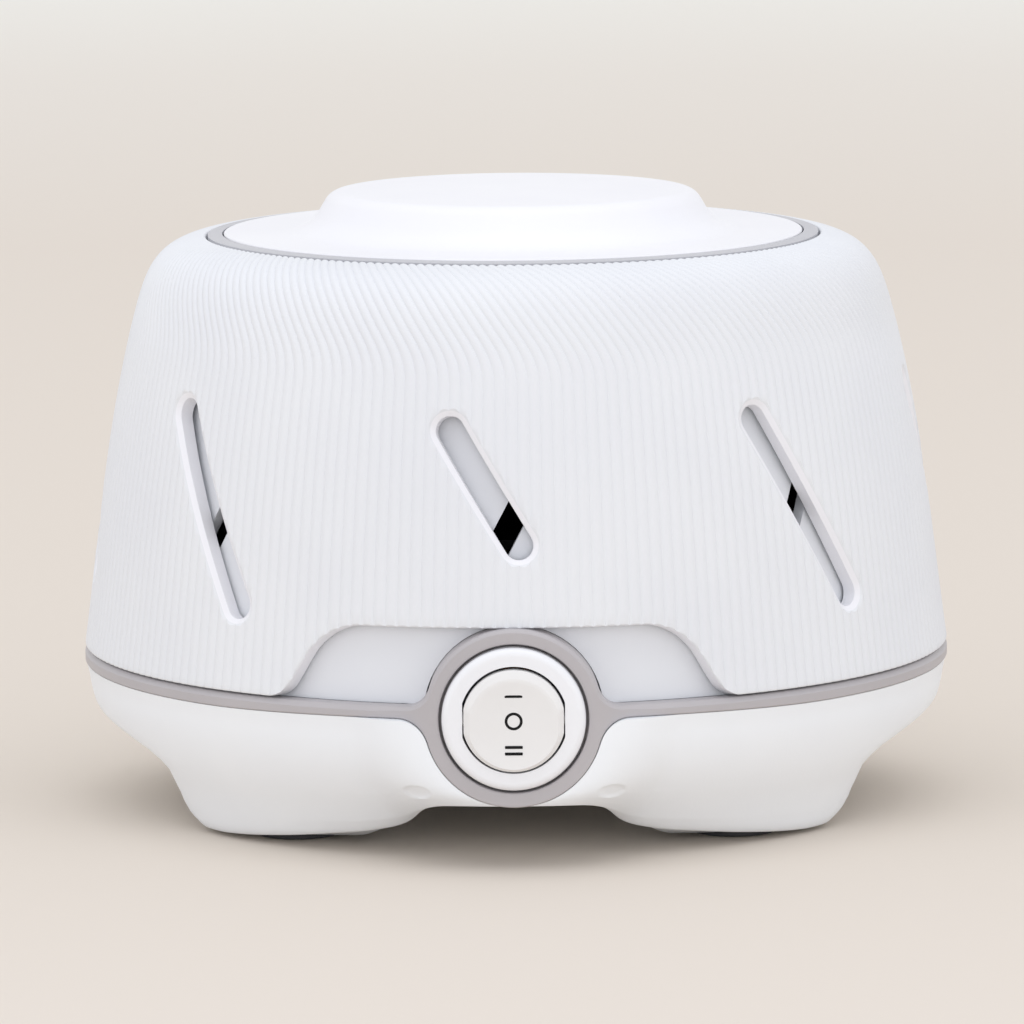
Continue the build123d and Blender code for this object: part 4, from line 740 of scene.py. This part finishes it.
def foot_share(azimuth):
    """0 over the middle of an arch and 1 on a foot, evenly softened along the rim."""
    front = np.interp(np.abs(ARCH_R * np.sin(azimuth)), *zip(*FRONT_ARCH))
    side = np.interp(np.abs(ARCH_R * np.cos(azimuth)), *zip(*SIDE_ARCH))
    share = front * side
    soft = np.hanning(17) / np.hanning(17).sum()
    return np.convolve(np.concatenate([share[-8:], share, share[:8]]), soft, "valid")


def base_outside(azimuth):
    """Radii and heights of the outside with its feet, arches and waist, row by row from the rim down."""
    arch_end = along(rounded(ARCH_END, closed=False), ROWS_END)
    arch = np.concatenate([curve_through(ARCH_SIDE, ROWS_SIDE), arch_end[1:]])
    foot = curve_through(FOOT_SIDE, len(arch))
    blend = foot_share(azimuth)
    profile = arch[:, None, :] * (1 - blend[None, :, None]) + foot[:, None, :] * blend[None, :, None]
    radius, height = profile[..., 0].copy(), profile[..., 1].copy()
    limit = np.interp(height, *zip(*WAIST)) / np.maximum(np.abs(np.sin(azimuth)), 0.3)[None, :]
    both = np.exp(-WAIST_SHARP * (radius - WAIST_R)) + np.exp(-WAIST_SHARP * (limit - WAIST_R))
    narrow = -np.log(both) / WAIST_SHARP + WAIST_R
    radius += (narrow - radius) * smoothstep(-6.0, -9.0, height)
    return radius, height


def raise_seats(azimuth, radius, height):
    """Adds the moulding for the bezel in front and the boss for the cord gland at the back."""
    toward_front = np.cos(azimuth)[None, :]
    away = np.hypot(radius * np.sin(azimuth)[None, :], height - BEZEL_Z)
    lift = np.where(toward_front > 0.5, 1 - smoothstep(*SEAT_FADE, away), 0)
    out = lift * (np.maximum(SEAT_FACE / np.maximum(toward_front, 0.5), radius) - radius)
    radius = radius + out
    height = height + out * 0.17 * smoothstep(-12.0, -17.5, height)
    away = np.hypot(radius * np.sin(azimuth)[None, :], height - GLAND_Z + SEAM_Z)
    lift = np.where(toward_front < -0.5, 1 - smoothstep(*GLAND_FADE, away), 0)
    radius = radius + lift * (GLAND_FACE / np.maximum(-toward_front, 0.5) - radius)
    return radius, height


def press_dimples(azimuth, radius, height):
    """Presses a shallow dimple into the base on each side of every arch."""
    for quarter in range(4):
        for side in (-DIMPLE_SIDE, DIMPLE_SIDE):
            middle = radians(90 * quarter + side)
            across = (azimuth[None, :] - middle + pi) % (2 * pi) - pi
            far = np.hypot(across * DIMPLE_R / DIMPLE_HALF[0], (height - DIMPLE_Z) / DIMPLE_HALF[1])
            dent = DIMPLE_DEPTH * np.sqrt(np.clip(1 - far**2, 0, 1))
            radius = radius - dent * 0.85
            height = height + dent * 0.5
    return radius, height


def base_under(azimuth, rim_r, rim_z):
    """Points of the underside, from the outside's last row to the middle: the feet's soles and both gaps."""
    radius = rim_r[None, :] * UNDER_SHARES[:, None]
    x, y = np.abs(radius * np.sin(azimuth)[None, :]), np.abs(radius * np.cos(azimuth)[None, :])
    height = ARCH_UNDER + (FOOT_BOTTOM - ARCH_UNDER) * smoothstep(9, 26, x) * smoothstep(11, 29, y)
    height += 0.16 * np.clip(y - 42, 0, None)
    share = smoothstep(0.86, 1.0, UNDER_SHARES)[:, None]
    return around(azimuth[None, :], radius, height * (1 - share) + rim_z[None, :] * share)


def base_mesh():
    """The base without its pockets and holes."""
    columns = BASE_COLUMNS
    azimuth = np.arange(columns) * 2 * pi / columns
    from_front = BODY_R * ((azimuth + pi) % (2 * pi) - pi)
    radius, height = base_outside(azimuth)
    height += low_edge_rise(from_front[None, :], height)
    radius, height = press_dimples(azimuth, *raise_seats(azimuth, radius, height))
    outer = around(azimuth[None, :], radius, height)
    under = base_under(azimuth, radius[-1], height[-1])
    bowl = np.array(BOWL)
    bowl_height = bowl[:, 1:2] + low_edge_rise(from_front[None, :], bowl[:, 1:2])
    inside = around(azimuth[None, :], bowl[:, 0:1], bowl_height)
    points = np.concatenate([inside[::-1].reshape(-1, 3), outer.reshape(-1, 3), under.reshape(-1, 3)])
    rows = len(bowl) + len(outer) + len(under)
    faces = [quad[::-1] for quad in grid_faces(rows, columns)]
    low_hub, high_hub = len(points), len(points) + 1
    points = np.vstack([points, [(0, 0, ARCH_UNDER), (0, 0, BOWL_FLOOR)]])
    last = (rows - 1) * columns
    faces += [[last + (c + 1) % columns, last + c, low_hub] for c in range(columns)]
    faces += [[c, (c + 1) % columns, high_hub] for c in range(columns)]
    points[:, 2] += SEAM_Z
    return make_object("base_body", points, faces)


def seat_tool():
    """Cutter that leaves room in the base for the bezel and its lower flares."""
    reach, top, front, back, room = 19.3, 4.0, -80.0, -63.5, 0.08
    lower = bezel_edge(reach, room)[1]
    lower[:, 1] += low_edge_rise(*lower.T)
    loop = np.concatenate([lower, [(-reach, top), (reach, top)]])[::-1]
    count = len(loop)
    ends = [np.stack([loop[:, 0], np.full(count, y), loop[:, 1] + SEAM_Z], -1) for y in (front, back)]
    faces = [list(range(count))[::-1], list(range(count, 2 * count))]
    faces += [[i, (i + 1) % count, count + (i + 1) % count, count + i] for i in range(count)]
    piece = make_object("seat_tool", np.concatenate(ends), faces)
    face_out(piece)
    return piece


PAD_CIRCLE_R = 51.0
POCKET = [(0, -5), (7.15, -5), (7.15, 1.8), (3.5, 1.8), (3.5, 5.0), (0, 5.0)]  # room for pad and screw
GLAND_HOLE = [(0, 55), (GLAND_HOLE_R, 55), (GLAND_HOLE_R, 80), (0, 80)]


def pocket_tools():
    """Cutters for the pads with the screws over them, and for the cord gland."""
    tools = []
    for quarter in range(4):
        spot = around(radians(45 + 90 * quarter), PAD_CIRCLE_R, 0.0)
        tools.append(lathe("pocket", POCKET, 64, centre=spot))
    gland_hole = lathe("gland_hole", GLAND_HOLE, 64)
    gland_hole.data.transform(Matrix.Rotation(radians(-90), 4, "X"))
    gland_hole.data.transform(Matrix.Translation((0, 0, GLAND_Z * MM)))
    return tools + [gland_hole]


base = base_mesh()
cut(base, seat_tool())
cut(base, join("base_tools", pocket_tools()))
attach(base, "housing")
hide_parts("base_shell")


# ---------------- materials
FINISHES = {}


def linear(*colour):
    """Red, green and blue as light, from display values 0 to 255."""
    return tuple(((c / 255 + 0.055) / 1.055) ** 2.4 if c > 10 else c / 255 / 12.92 for c in colour)


def new_material(name):
    """A material with its nodes, links, shader and object coordinates."""
    material = bpy.data.materials.new(name)
    material.use_nodes = True
    nodes, links = material.node_tree.nodes, material.node_tree.links
    shader = nodes["Principled BSDF"]
    place = nodes.new("ShaderNodeTexCoord")
    return material, nodes, links, shader, place


def noise_node(nodes, links, place, scale, detail=3.0):
    node = nodes.new("ShaderNodeTexNoise")
    node.inputs["Scale"].default_value = scale
    node.inputs["Detail"].default_value = detail
    links.new(place.outputs["Object"], node.inputs["Vector"])
    return node


def ramp_node(nodes, links, source, stops):
    """A colour ramp over the source, with stops of (position, colour)."""
    node = nodes.new("ShaderNodeValToRGB")
    elements = node.color_ramp.elements
    for element, (position, colour) in zip(elements, (stops[0], stops[-1])):
        element.position, element.color = position, (*colour, 1)
    for position, colour in stops[1:-1]:
        elements.new(position).color = (*colour, 1)
    links.new(source, node.inputs["Fac"])
    return node


def finish(name, low, high, rough, rough_spread=0.05, tint_scale=35, grain_scale=2500, grain=0.03,
           metallic=0.0, specular=0.5, stretch=None):
    """A material with colour clouded between low and high, varying roughness and a fine grain."""
    material, nodes, links, shader, place = new_material(name)
    tint = noise_node(nodes, links, place, tint_scale)
    ramp = ramp_node(nodes, links, tint.outputs["Fac"], [(0.3, linear(*low)), (0.7, linear(*high))])
    links.new(ramp.outputs["Color"], shader.inputs["Base Color"])
    fine = noise_node(nodes, links, place, grain_scale, 4.0)
    if stretch:
        mapping = nodes.new("ShaderNodeMapping")
        mapping.inputs["Scale"].default_value = stretch
        links.new(place.outputs["Object"], mapping.inputs["Vector"])
        links.new(mapping.outputs["Vector"], fine.inputs["Vector"])
    spread = nodes.new("ShaderNodeMapRange")
    spread.inputs["To Min"].default_value = rough - rough_spread
    spread.inputs["To Max"].default_value = rough + rough_spread
    links.new(fine.outputs["Fac"], spread.inputs["Value"])
    links.new(spread.outputs["Result"], shader.inputs["Roughness"])
    bump = nodes.new("ShaderNodeBump")
    bump.inputs["Strength"].default_value = 0.4
    bump.inputs["Distance"].default_value = grain * MM
    links.new(fine.outputs["Fac"], bump.inputs["Height"])
    links.new(bump.outputs["Normal"], shader.inputs["Normal"])
    shader.inputs["Metallic"].default_value = metallic
    shader.inputs["Specular IOR Level"].default_value = specular
    FINISHES[name] = material


finish("shell_white", (226, 228, 232), (230, 232, 235), 0.52)
# painted light: a brighter copy of the shell's white, given to its slot bevels and cut-out walls so that they
# look lit
finish("lip_painted_light", (237, 237, 241), (240, 240, 244), 0.45, grain=0.01)
finish("flange_white", (236, 237, 240), (240, 241, 244), 0.32, grain=0.01)
finish("cap_white", (236, 236, 240), (240, 240, 243), 0.5)
finish("base_white", (238, 241, 245), (242, 245, 248), 0.5)
finish("drum_white", (224, 226, 231), (229, 231, 235), 0.5)
finish("trim_grey", (178, 174, 176), (184, 180, 182), 0.42)
finish("ring_grey", (190, 190, 195), (197, 197, 201), 0.5)
finish("switch_white", (230, 229, 228), (234, 233, 232), 0.32, grain=0.01)
finish("inner_plastic", (222, 220, 212), (228, 226, 219), 0.45)
finish("fan_black", (24, 24, 25), (33, 33, 34), 0.42)
finish("pad_rubber", (58, 58, 60), (70, 70, 71), 0.8, grain=0.08)
finish("gland_rubber", (205, 205, 204), (214, 214, 212), 0.6, grain=0.05)
finish("stack_steel", (120, 121, 124), (142, 143, 145), 0.45, 0.1, metallic=0.9, grain_scale=1800, grain=0.15,
       stretch=(0.02, 0.02, 1.0))
finish("zinc_steel", (176, 178, 180), (200, 200, 198), 0.32, 0.08, 120, metallic=1.0)
finish("bearing_bronze", (176, 128, 72), (196, 150, 92), 0.45, 0.08, 200, metallic=1.0)
finish("copper", (196, 118, 82), (214, 138, 98), 0.3, 0.08, 150, metallic=1.0)
finish("winding_tape", (196, 160, 70), (208, 174, 86), 0.38, 0.08, 90, grain=0.06, grain_scale=900,
       stretch=(1.0, 1.0, 0.05))
finish("rotor_aluminium", (170, 171, 173), (190, 190, 191), 0.4, 0.1, metallic=0.95, grain_scale=1800,
       grain=0.1, stretch=(0.02, 0.02, 1.0))
finish("lead_black", (28, 28, 29), (38, 38, 38), 0.5)
finish("lead_white", (226, 225, 220), (232, 231, 227), 0.5)
finish("glide_pom", (230, 229, 224), (236, 235, 231), 0.3, grain=0.01)
finish("symbol_ink", (14, 14, 15), (20, 20, 21), 0.6, grain=0.01, specular=0.2)


OWN_FINISH = {"switch_body": "flange_white"}


def dress(piece, *names):
    """Gives a piece its finishes, the first one on all faces."""
    piece.data.materials.clear()
    for name in names:
        piece.data.materials.append(FINISHES[name])


def dress_cad_nodes():
    """Finishes every CAD node that is shown by its slot, or by a finish of its own."""
    for row in frame["record"]["subparts"]:
        node = frame["nodes"].get(row["node"])
        if node is not None:
            materials = node.data.materials
            if not materials:
                materials.append(None)
            for k in range(len(materials)):
                materials[k] = FINISHES[OWN_FINISH.get(row["node"], row["material_slot"])]


def dress_shell():
    """Finishes the shell, with a brighter copy of its white in the bevels of its slots and the walls of its
    cut-out: painted light.
    """
    dress(shell, "shell_white", "lip_painted_light")
    mesh = shell.data
    spots = np.empty(3 * len(mesh.polygons), np.float32)
    mesh.polygons.foreach_get("center", spots)
    x, y, z = spots.reshape(-1, 3).astype(float).T / MM
    up = z - SEAM_Z
    under = crest_at(s_of_z(up))[0][:, 0] - np.hypot(x, y)
    slots = (up > 8) & (up < 52)
    window = (y < 0) & (np.abs(x) < 42) & (up > 0.7) & (up < CUT_TOP + 1)
    # the faces of the slot bevels and cut-out walls that get the painted light
    painted_light_faces = (under > RIB_DEPTH + 0.03) & (under < WALL - 0.1) & (slots | window)
    mesh.polygons.foreach_set("material_index", painted_light_faces.astype(np.int32))


dress_cad_nodes()
dress_shell()
dress(cap, "cap_white")
dress(trim, "trim_grey")
dress(base, "base_white")


# ---------------- the rocker's face and the symbols on it
ROCKER_FACE = BODY_R - CUP_DEPTH + 0.6 + 2.2  # the CAD rocker's pivot before the panel, its face over that
ROCKER_R, ROCKER_BACK_R = 8.3, 8.16
ROCKER_FLAT = 8.06  # half width between its flat sides
ROCKER_BEVEL = 0.95  # width of the bevel round the dish
ROCKER_EDGE = [(0.95, 0.0), (0.6, 0.04), (0.46, 0.14), (0.12, 0.84), (0.03, 0.95), (0.0, 1.0)]  # depth, share
BEVEL_LOW = -0.45  # how much lower its inner edge lies than its outer edge, so that it is wider above
FACE_Z = -0.1  # middle of the face against the switch's axis
DISH_RISE, DISH_R = 0.35, 7.1
FACE_UP, SYMBOL_UP = 0.015, 0.035  # how far the face and the symbols stand before the CAD rocker
SYMBOL_DEPTH = 0.1


def dish(square):
    """How far the rocker's dished face stands over its middle at a squared distance from the middle."""
    return DISH_RISE * square / DISH_R**2


def rocker_face():
    """The rocker's pressed face: dished, and bevelled round it, more above than below."""
    turn = np.linspace(0, 2 * pi, 160, endpoint=False)
    inner = ROCKER_R - ROCKER_BEVEL
    rim = FACE_UP + dish(inner**2)
    levels = [(3.0, ROCKER_BACK_R), (2.0, ROCKER_R)]
    levels += [(depth - rim, ROCKER_R - ROCKER_BEVEL * share) for depth, share in ROCKER_EDGE]
    levels += [(-FACE_UP - dish(r * r), r) for r in np.linspace(inner, 0.8, 9)[1:]]
    rings = []
    for depth, r in levels:
        inside = max(ROCKER_R - r, 0.0)
        flat = ROCKER_FLAT - inside
        sink = BEVEL_LOW * min(1.0, r / inner) * min(1.0, inside / ROCKER_BEVEL) + FACE_Z
        x, z = np.clip(r * np.cos(turn), -flat, flat), r * np.sin(turn) + sink
        rings.append(np.stack([x, np.full(len(turn), depth - ROCKER_FACE), z + SWITCH_Z], -1))
    count = len(turn)
    faces = grid_faces(len(rings), count)
    faces.append(list(range(count))[::-1])
    faces.append([(len(rings) - 1) * count + i for i in range(count)])
    piece = make_object("rocker_face", np.concatenate(rings), faces)
    piece.data.materials.append(FINISHES["switch_white"])
    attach(piece, "rocker")


def symbol(name, loops):
    """A flat symbol on the rocker's face, from closed (x, z) loops about its axis: outer, then inner."""
    points, faces = [], []
    front = -(ROCKER_FACE + SYMBOL_UP + dish(max(x * x + z * z for x, z in loops[0])))
    for depth in (front, front + SYMBOL_DEPTH):
        for loop in loops:
            points += [(x, depth, z + SWITCH_Z) for x, z in loop]
    count = len(loops[0])
    if len(loops) == 2:
        for i in range(count):
            j = (i + 1) % count
            for ring, other, p, q in ((0, 1, i, j), (2, 3, j, i), (0, 2, j, i), (1, 3, i, j)):
                ring, other = ring * count, other * count
                faces.append([ring + p, ring + q, other + q, other + p])
    else:
        faces.append(list(range(count)))
        faces.append([count + i for i in range(count)][::-1])
        faces += [[(i + 1) % count, i, count + i, count + (i + 1) % count] for i in range(count)]
    piece = make_object(name, points, faces)
    piece.data.materials.append(FINISHES["symbol_ink"])
    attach(piece, "rocker")


def bar(width, height, z):
    """Outline of a bar with barely rounded corners."""
    x, low, high = width / 2, z - height / 2, z + height / 2
    return rounded([(-x, low, 0.1), (x, low, 0.1), (x, high, 0.1), (-x, high, 0.1)], step=30)


rocker_face()
symbol("symbol_one", [bar(2.85, 0.42, 3.95)])
symbol("symbol_off", [arc_points((0, FACE_Z), r, 0, 2 * pi, 6)[:-1] for r in (1.44, 1.0)])
symbol("symbol_two_a", [bar(2.85, 0.47, -4.3)])
symbol("symbol_two_b", [bar(2.85, 0.47, -5.35)])


# ---------------- floor, light and camera
# colours of the paper from the front backwards, at shares of the way between two distances in metres: painted
# light and shade, darker where the object stands and lighter further back
PAPER_PAINTED_LIGHT = [(0.0, (234, 226, 218)), (0.3, (222, 213, 202)), (0.6, (229, 220, 209)), (0.8, (238, 232, 223)),
         (1.0, (249, 248, 241))]
PAPER_FROM, PAPER_TO = -0.9, 2.1
PAPER_HALF = 4.0


def backdrop():
    """Floor that sweeps up into a wall behind."""
    line = rounded([(-2.6, 0, 0), (4.5, 0, 1.2), (4.5, 4.0, 0)], closed=False, step=4)
    points = [(x / MM, y / MM, z / MM - 0.05) for x in (-PAPER_HALF, PAPER_HALF) for y, z in line]
    count = len(line)
    faces = [[i, count + i, count + i + 1, i + 1] for i in range(count - 1)]
    piece = make_object("floor", points, faces, 60)
    material, nodes, links, shader, place = new_material("paper_painted_light")
    split = nodes.new("ShaderNodeSeparateXYZ")
    links.new(place.outputs["Object"], split.inputs["Vector"])
    away = nodes.new("ShaderNodeMapRange")
    away.inputs["From Min"].default_value = PAPER_FROM
    away.inputs["From Max"].default_value = PAPER_TO
    links.new(split.outputs["Y"], away.inputs["Value"])
    # the paper's colour ramp paints light and shade: darker round the object, lighter further back
    ramp = ramp_node(nodes, links, away.outputs["Result"], [(at, linear(*colour)) for at, colour in PAPER_PAINTED_LIGHT])
    links.new(ramp.outputs["Color"], shader.inputs["Base Color"])
    shader.inputs["Roughness"].default_value = 0.9
    shader.inputs["Specular IOR Level"].default_value = 0.1
    piece.data.materials.append(material)


def area_light(name, place, target, size, energy, colour=(1, 1, 1)):
    data = bpy.data.lights.new(name, "AREA")
    data.shape = "RECTANGLE"
    data.size, data.size_y = size
    data.energy = energy
    data.color = colour
    light = bpy.data.objects.new(name, data)
    bpy.context.scene.collection.objects.link(light)
    light.location = place
    light.rotation_euler = (Vector(target) - Vector(place)).to_track_quat("-Z", "Y").to_euler()


def sky(colour, strength):
    world = bpy.data.worlds.new("studio")
    world.use_nodes = True
    world.node_tree.nodes["Background"].inputs["Color"].default_value = (*colour, 1)
    world.node_tree.nodes["Background"].inputs["Strength"].default_value = strength
    bpy.context.scene.world = world


COOL = (0.95, 0.98, 1.0)
backdrop()
area_light("overhead", (0, -0.25, 1.3), (0, 0, 0.05), (1.2, 1.0), 3.45)
for side, x in (("left", -1.3), ("right", 1.3)):
    area_light(side, (x, -0.9, 0.35), (0, 0, 0.05), (0.8, 0.7), 1.5, COOL)
area_light("front", (0, -1.5, 0.16), (0, 0, 0.02), (1.6, 0.3), 1.7, COOL)
sky((0.945, 0.955, 1.0), 0.95)
bpy.context.scene.view_settings.view_transform = "Standard"

CAMERA_AWAY = 1.3
CAMERA_UP = radians(7.94)
CAMERA_TURN = radians(0.4)
CAMERA_ROLL = radians(-0.44)
CAMERA_TARGET = (-0.53 * MM, 0, 48.26 * MM)
LENS, SENSOR = 269.9, 36.0


def place_camera():
    """The camera, turned round its target, raised over it and rolled."""
    level = cos(CAMERA_UP)
    back = Vector((sin(CAMERA_TURN) * level, -cos(CAMERA_TURN) * level, sin(CAMERA_UP)))
    right = Vector((cos(CAMERA_TURN), sin(CAMERA_TURN), 0))
    up = back.cross(right)
    across = right * cos(CAMERA_ROLL) + up * sin(CAMERA_ROLL)
    upright = up * cos(CAMERA_ROLL) - right * sin(CAMERA_ROLL)
    data = bpy.data.cameras.new("camera")
    data.sensor_width = SENSOR
    data.lens = LENS
    camera = bpy.data.objects.new("camera", data)
    bpy.context.scene.collection.objects.link(camera)
    place = Matrix.Translation(Vector(CAMERA_TARGET) + back * CAMERA_AWAY)
    camera.matrix_world = place @ Matrix((across, upright, back)).transposed().to_4x4()
    bpy.context.scene.camera = camera


place_camera()
